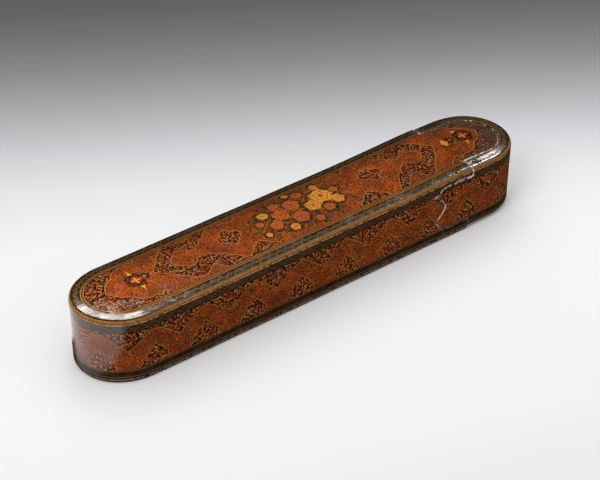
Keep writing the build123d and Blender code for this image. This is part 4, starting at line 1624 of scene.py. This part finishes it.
def engraved_brass(name, middle, petals, reach):
    """Brass with rings and petals engraved about a middle point, and brown patina in clouds.

    On top, petals are where the distance, as a share of the reach, follows the petals' swing. On
    walls a zigzag of the length meets the height.
    """
    paint = Paint(name)
    place = paint.place()
    x, y, z = in_millimetres(paint, place)
    radius, angle = polar(paint, paint.minus(x, middle[0]), paint.minus(y, middle[1]))
    share = paint.math("DIVIDE", radius, reach)
    petal_edge = paint.plus(0.45, paint.times(paint.petals(angle, petals), 0.30))
    rings = paint.either(*[paint.near(share, at, half_width) for at, half_width in RINGS])
    on_top = face_up(paint)
    drawn = paint.either(paint.near(share, petal_edge, 0.022), rings)
    band = paint.times(paint.math("PINGPONG", paint.plus(x, y), 0.9), 0.4)
    rise = paint.minus(paint.math("FRACT", paint.times(z, 0.25)), 0.3)
    zigzag = paint.near(rise, band, 0.03)
    groove = paint.either(paint.both(on_top, drawn), paint.both(paint.without(on_top), zigzag))

    cloud = paint.noise(place, 260.0, 5.0, 0.65)
    colour = paint.over(BRASS, paint.spread(cloud, 0.42, 0.62), BRASS_BROWN)
    colour = paint.over(colour, groove, GROOVE_DARK)
    spots = paint.noise(place, 1400.0, 3.0, 0.6)
    colour = paint.over(colour, paint.spread(spots, 0.62, 0.70), TARNISH)
    normal = paint.bump(paint.minus(paint.times(cloud, 0.4), groove), 0.00010, 0.8)
    rough = paint.spread(cloud, 0.4, 0.65, 0.26, 0.52)
    return paint.surface(Base_Color=colour, Metallic=1.0, Roughness=rough, Normal=normal)


def tray_lining(name, rim_height):
    """The red lining with a gold vine under the rim, and black ink stains near the inkwell."""
    paint = Paint(name)
    place = paint.place()
    x, y, z = in_millimetres(paint, place)
    colour, cloud, normal = brushed_red(paint, place, TRAY_RED, LINING_DARK, TRAY_STREAK)
    below_rim = paint.minus(z, rim_height)
    on_top = face_up(paint)
    wall = paint.without(on_top)
    stem = paint.both(wall, vine(paint, paint.plus(x, y), below_rim, *TRAY_VINE),
                      paint.above(paint.noise(place, 700.0), 0.40))
    colour = paint.thinly(colour, stem, 0.85, TRAY_GOLD)
    rules = paint.either(*[paint.near(below_rim, at, half_width) for at, half_width in TRAY_RULES])
    colour = paint.over(colour, paint.both(wall, rules), TRAY_GOLD)
    edge_worn = paint.both(paint.above(below_rim, -0.5),
                           paint.below(paint.noise(place, 500.0, 4.0), 0.46))
    colour = paint.over(colour, edge_worn, TRAY_WORN)
    ink = paint.both(paint.above(paint.plus(x, paint.times(cloud, 60.0)), INKED_FROM),
                     paint.above(paint.noise(place, 190.0, 3.0), 0.56), on_top)
    colour = paint.thinly(colour, ink, INK_SHARE, INK)
    rough = paint.spread(cloud, 0.3, 0.7, 0.42, 0.62)
    return paint.surface(Base_Color=colour, Roughness=rough, Specular_IOR_Level=0.18, Normal=normal)


print("the brass has", len(RINGS), "engraved rings")

# %% [markdown]
# ## Dressing the CAD pieces
# Each inner piece takes one material. The tray and its divider share one, because they were
# lacquered together. The brass pieces have one each, so that the petals are centred on the piece:
# its middle and its reach are measured from the frame.

# %% Give the inner pieces their materials
PETALS = {"inkwell_cup": 12, "inkwell_top_plate": 16, "inkwell_lid": 8, "lid_knob": 6,
          "inkwell_hinge_pin": 6}


def dress(node, material):
    """Gives a CAD piece one material."""
    piece = frame["nodes"][node]
    piece.data.materials.clear()
    piece.data.materials.append(material)


def middle_of(node):
    """The middle of a CAD piece in plan, and half its shorter side, in millimetres."""
    near_corner, far_corner = (np.array(corner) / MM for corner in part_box(node))
    middle = (near_corner + far_corner) / 2
    return middle[:2], float(min(far_corner[:2] - near_corner[:2]) / 2)


tray_paint = tray_lining("tray_lining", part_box("drawer_tray")[1][2] / MM)
for node in ("drawer_tray", "tray_divider"):
    dress(node, tray_paint)
for node, petals in PETALS.items():
    middle, reach = middle_of(node)
    dress(node, engraved_brass(node + "_brass", middle, petals, reach))
    print(node, "engraved about", np.round(middle, 1), "reach", round(reach, 1), "mm")

# %% [markdown]
# ## The silk in the inkwell
# A pinch of raw silk floss holds the ink, so that the pen can't take too much. It is a tangle of
# soaked strands. Each strand here is a closed curve, a sum of a few slow waves in each direction,
# swept with a small round section, and all of them are pressed into the space of the CAD wad.

# %% Tangle the strands
STRANDS, STRAND_RADIUS, STRAND_ROWS, STRAND_SIDES = 46, 0.16, 90, 6
WAVE_ORDERS, WAVE_FALL = (1, 2, 3, 5), 0.6
SILK_BLACK, SILK_SHEEN = (0.010, 0.009, 0.010), (0.045, 0.036, 0.034)


def strand(random, low, high):
    """Points and quads of one closed strand.

    The middle curve is a sum of four waves per direction, pressed into the box between low and
    high. The section is a circle set square to the curve.
    """
    turn = np.linspace(0, 2 * math.pi, STRAND_ROWS, endpoint=False)
    curve = np.zeros((STRAND_ROWS, 3))
    for order in WAVE_ORDERS:
        phase = random.uniform(0, 2 * math.pi, 3)
        size = random.uniform(0.3, 1.0, 3) / order**WAVE_FALL
        curve += size * np.sin(order * turn[:, None] + phase)
    room = (high - low - 2 * STRAND_RADIUS) / 2
    curve = np.tanh(curve * 0.9) * room + (low + high) / 2
    ahead = np.roll(curve, -1, 0) - np.roll(curve, 1, 0)
    ahead /= np.linalg.norm(ahead, axis=1)[:, None]
    side = np.cross(ahead, (0.31, 0.22, 0.93))
    side /= np.linalg.norm(side, axis=1)[:, None]
    upward = np.cross(side, ahead)
    angle = np.linspace(0, 2 * math.pi, STRAND_SIDES, endpoint=False)[None, :, None]
    section = np.cos(angle) * side[:, None] + np.sin(angle) * upward[:, None]
    points = (curve[:, None] + section * STRAND_RADIUS).reshape(-1, 3)
    return points, grid_quads(STRAND_ROWS, STRAND_SIDES, ring=True)


def inked_silk():
    """Nearly black, soft and wet, with paler fibres."""
    paint = Paint("inked_silk")
    fibre = paint.noise(paint.vector("MULTIPLY", paint.place(), (1.0, 1.0, 2.5)), 2500.0, 3.0)
    tint = paint.over(SILK_BLACK, paint.spread(fibre, 0.45, 0.75), SILK_SHEEN)
    return paint.surface(Base_Color=tint, Roughness=0.38, Specular_IOR_Level=0.5)


random = np.random.default_rng(5)
low, high = (np.array(corner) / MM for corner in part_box("ink_wad"))
strands = [strand(random, low, high) for _ in range(STRANDS)]
silk_points = np.concatenate([points for points, _ in strands])
silk_quads = np.concatenate([quads + k * STRAND_ROWS * STRAND_SIDES
                             for k, (_, quads) in enumerate(strands)])
silk = mesh_from("ink_wad_silk", silk_points, silk_quads.tolist())
silk.data.polygons.foreach_set("use_smooth", np.ones(len(silk.data.polygons), bool))
silk.data.materials.append(inked_silk())
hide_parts("ink_wad")
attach(silk, "drawer")
print("silk:", len(silk.data.polygons), "faces within", np.round(low, 2), np.round(high, 2))

# %% [markdown]
# ## The paper under the box
# The box stands on white paper. Its grey far behind the box is a painted falloff of light, and to
# the camera the paper is that gradient, with painted light close to the box and towards the right
# of the view. In the varnish it would be a white mirror, so for mirror rays it stays dark, except in
# two strips behind and beside the left end, which glow as painted sources of the reflection that the
# end wall catches at a glancing angle. For light that bounces off it on to the box the paper is only
# about half as bright.

# %% The paper
FLOOR_SIZE, FLOOR_DROP = 4.0, 0.0002
RAMP_FROM, RAMP_TO = -0.15, 0.30
# Painted light falloff: the paper's grey levels by distance behind the box, the darker ones a little
# cool.
RAMP_LEVELS = [(-0.15, 0.83), (-0.09, 0.88), (0.02, 0.90), (0.047, 0.86), (0.071, 0.80),
               (0.097, 0.68), (0.123, 0.52), (0.151, 0.375), (0.180, 0.26), (0.211, 0.18),
               (0.240, 0.13), (0.300, 0.09)]
RAMP_LEAN = math.radians(5)
COOL, COOL_BELOW = 0.04, 0.8
BOUNCED, MIRROR_DARK, MIRROR_BRIGHT = 0.45, 0.03, 1.8
# Painted light: the paper is brightened close to the box and towards the right of the view.
NEAR_BOX, ACROSS_VIEW, BOX_REACH = (0.03, 0.15, 1.09, 1.0), (-0.12, 0.12, 0.99, 1.05), 0.10
BEHIND_END_X, BEHIND_END_Y, LEFT_OF_END = (-0.084, -0.092), (0.020, 0.026), (-0.112, -0.120)


def paper_sheet():
    """A flat square under the box, a hair below it."""
    corner = FLOOR_SIZE / 2
    corners = [(-corner, -corner, 0), (corner, -corner, 0),
               (corner, corner, 0), (-corner, corner, 0)]
    mesh = bpy.data.meshes.new("table_paper")
    mesh.from_pydata(corners, [], [(0, 1, 2, 3)])
    sheet = bpy.data.objects.new("table_paper", mesh)
    scene.collection.objects.link(sheet)
    sheet.location.z = -FLOOR_DROP
    return sheet


def painted_falloff_ramp(paint, x, y):
    """Painted light falloff by the distance behind the box: a level at each of a few distances."""
    lean = AZIMUTH + RAMP_LEAN
    behind = paint.plus(paint.times(x, -math.sin(lean)), paint.times(y, math.cos(lean)))
    ramp = paint.node("ShaderNodeValToRGB", {0: paint.spread(behind, RAMP_FROM, RAMP_TO)})
    stops = ramp.color_ramp.elements
    while len(stops) < len(RAMP_LEVELS):
        stops.new(0.5)
    for stop, (at, level) in zip(stops, RAMP_LEVELS):
        stop.position = (at - RAMP_FROM) / (RAMP_TO - RAMP_FROM)
        stop.color = (level, level, level * (1.0 + COOL * (level < COOL_BELOW)), 1)
    return ramp.outputs[0]


def paper_backdrop():
    """White paper with a painted falloff of light behind the box, dark to mirror rays.

    Painted light makes the paper a little brighter close to the box and towards the right of the
    view. Two strips glow for mirror rays, behind the left end and beside it, as painted sources of
    reflection.
    """
    paint = Paint("table_paper")
    x, y, _ = paint.split(paint.place())
    light_path = paint.node("ShaderNodeLightPath")
    seen = paint.spread(light_path.outputs["Is Camera Ray"], 0.0, 1.0, BOUNCED, 1.0)
    beyond = paint.math("MAXIMUM", paint.minus(paint.math("ABSOLUTE", x), BOX_REACH), 0.0)
    away, _ = polar(paint, beyond, y)
    seen = paint.times(seen, paint.spread(away, *NEAR_BOX))
    aside = paint.plus(paint.times(x, math.cos(AZIMUTH)), paint.times(y, math.sin(AZIMUTH)))
    seen = paint.times(seen, paint.spread(aside, *ACROSS_VIEW))
    shade = paint.vector("SCALE", painted_falloff_ramp(paint, x, y), seen)
    diffuse = paint.node("ShaderNodeBsdfDiffuse", {"Color": shade})

    behind_end = paint.both(paint.spread(x, *BEHIND_END_X), paint.spread(y, *BEHIND_END_Y))
    left_of_end = paint.spread(x, *LEFT_OF_END)
    glow = paint.spread(paint.either(behind_end, left_of_end), 0.0, 1.0, MIRROR_DARK, MIRROR_BRIGHT)
    mirror = paint.node("ShaderNodeEmission", {"Color": (1, 1, 1), "Strength": glow})
    mixed = paint.node("ShaderNodeMixShader", {0: light_path.outputs["Is Glossy Ray"],
                                               1: diffuse.outputs[0], 2: mirror.outputs[0]})
    paint.node("ShaderNodeOutputMaterial", {"Surface": mixed.outputs[0]})
    return paint.material


table_paper = paper_sheet()
table_paper.data.materials.append(paper_backdrop())
table_paper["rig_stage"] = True
print("the paper is", FLOOR_SIZE, "m wide and has", len(RAMP_LEVELS), "levels of grey")

# %% [markdown]
# ## Lamps
# In a studio one lamp box both lights the paint and shows in the varnish. Here the two jobs are
# split, so that each can be set alone. Two large lamps only light the paint. Together with the
# world they give a level at which a colour comes out about as it is written. Small lamps that only
# show in the varnish stand where the camera sees them mirrored in the rims of both ends.

# %% Lamps and the world
WORLD_LEVEL, MIRROR_LEVEL = 0.72, 0.03
BOX_MIDDLE, TOP_MIDDLE, LEFT_END, RIGHT_END = ((0, 0, 0.015), (0, 0, 0.03), (-0.10, 0, 0.03),
                                               (0.09, 0, 0.03))
PAINT_LAMPS = [("back_box", (0.25, 0.45, 0.72), (0.42, 0.42), 0.8, BOX_MIDDLE),
               ("left_box", (-0.72, -0.22, 0.85), (0.50, 0.50), 3.4, BOX_MIDDLE)]
GLOSS_LAMPS = [("left_end_gloss", (0.16, 0.23, 0.75), (0.15, 0.15), 1.6, LEFT_END),
               ("left_end_gloss", (0.05, 0.375, 0.69), (0.15, 0.15), 1.6, LEFT_END),
               ("left_end_gloss", (-0.06, 0.52, 0.63), (0.15, 0.15), 1.6, LEFT_END),
               ("rim_gloss", (0.45, -0.10, 0.76), (0.10, 0.40), 0.9, TOP_MIDDLE),
               ("right_end_gloss", (0.59, 0.145, 0.625), (0.09, 0.13), 2.6, RIGHT_END)]


def soft_lamp(name, place, size, watts, aim, gloss):
    """A rectangular lamp at a place, turned to face a point on the box.

    A gloss lamp only shows in the varnish. The others only light the paint.
    """
    data = bpy.data.lights.new(name, "AREA")
    data.shape = "RECTANGLE"
    data.size, data.size_y = size
    data.energy = watts
    lamp = bpy.data.objects.new(name, data)
    lamp.location = place
    lamp.rotation_euler = (Vector(place) - Vector(aim)).to_track_quat("Z", "Y").to_euler()
    lamp.visible_glossy, lamp.visible_diffuse = gloss, not gloss
    scene.collection.objects.link(lamp)


def studio_world():
    """A plain white world at one level for the paint and a much lower one for mirror rays."""
    world = bpy.data.worlds.new("studio")
    world.use_nodes = True
    nodes, links = world.node_tree.nodes, world.node_tree.links
    path = nodes.new("ShaderNodeLightPath")
    level = nodes.new("ShaderNodeMapRange")
    level.inputs["To Min"].default_value = WORLD_LEVEL
    level.inputs["To Max"].default_value = MIRROR_LEVEL
    links.new(path.outputs["Is Glossy Ray"], level.inputs["Value"])
    links.new(level.outputs[0], nodes["Background"].inputs["Strength"])
    nodes["Background"].inputs["Color"].default_value = (1, 1, 1, 1)
    return world


for lamp in PAINT_LAMPS:
    soft_lamp(*lamp, gloss=False)
for lamp in GLOSS_LAMPS:
    soft_lamp(*lamp, gloss=True)
scene.world = studio_world()

# %% [markdown]
# ## Sizes
# The sizes before and after are printed. The painted shells keep within the box that the CAD
# pieces fill, so the two sizes should agree.

# %% Sizes and finish
low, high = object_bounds()
print("the shown object spans", [round(v, 4) for v in (high - low)], "m")
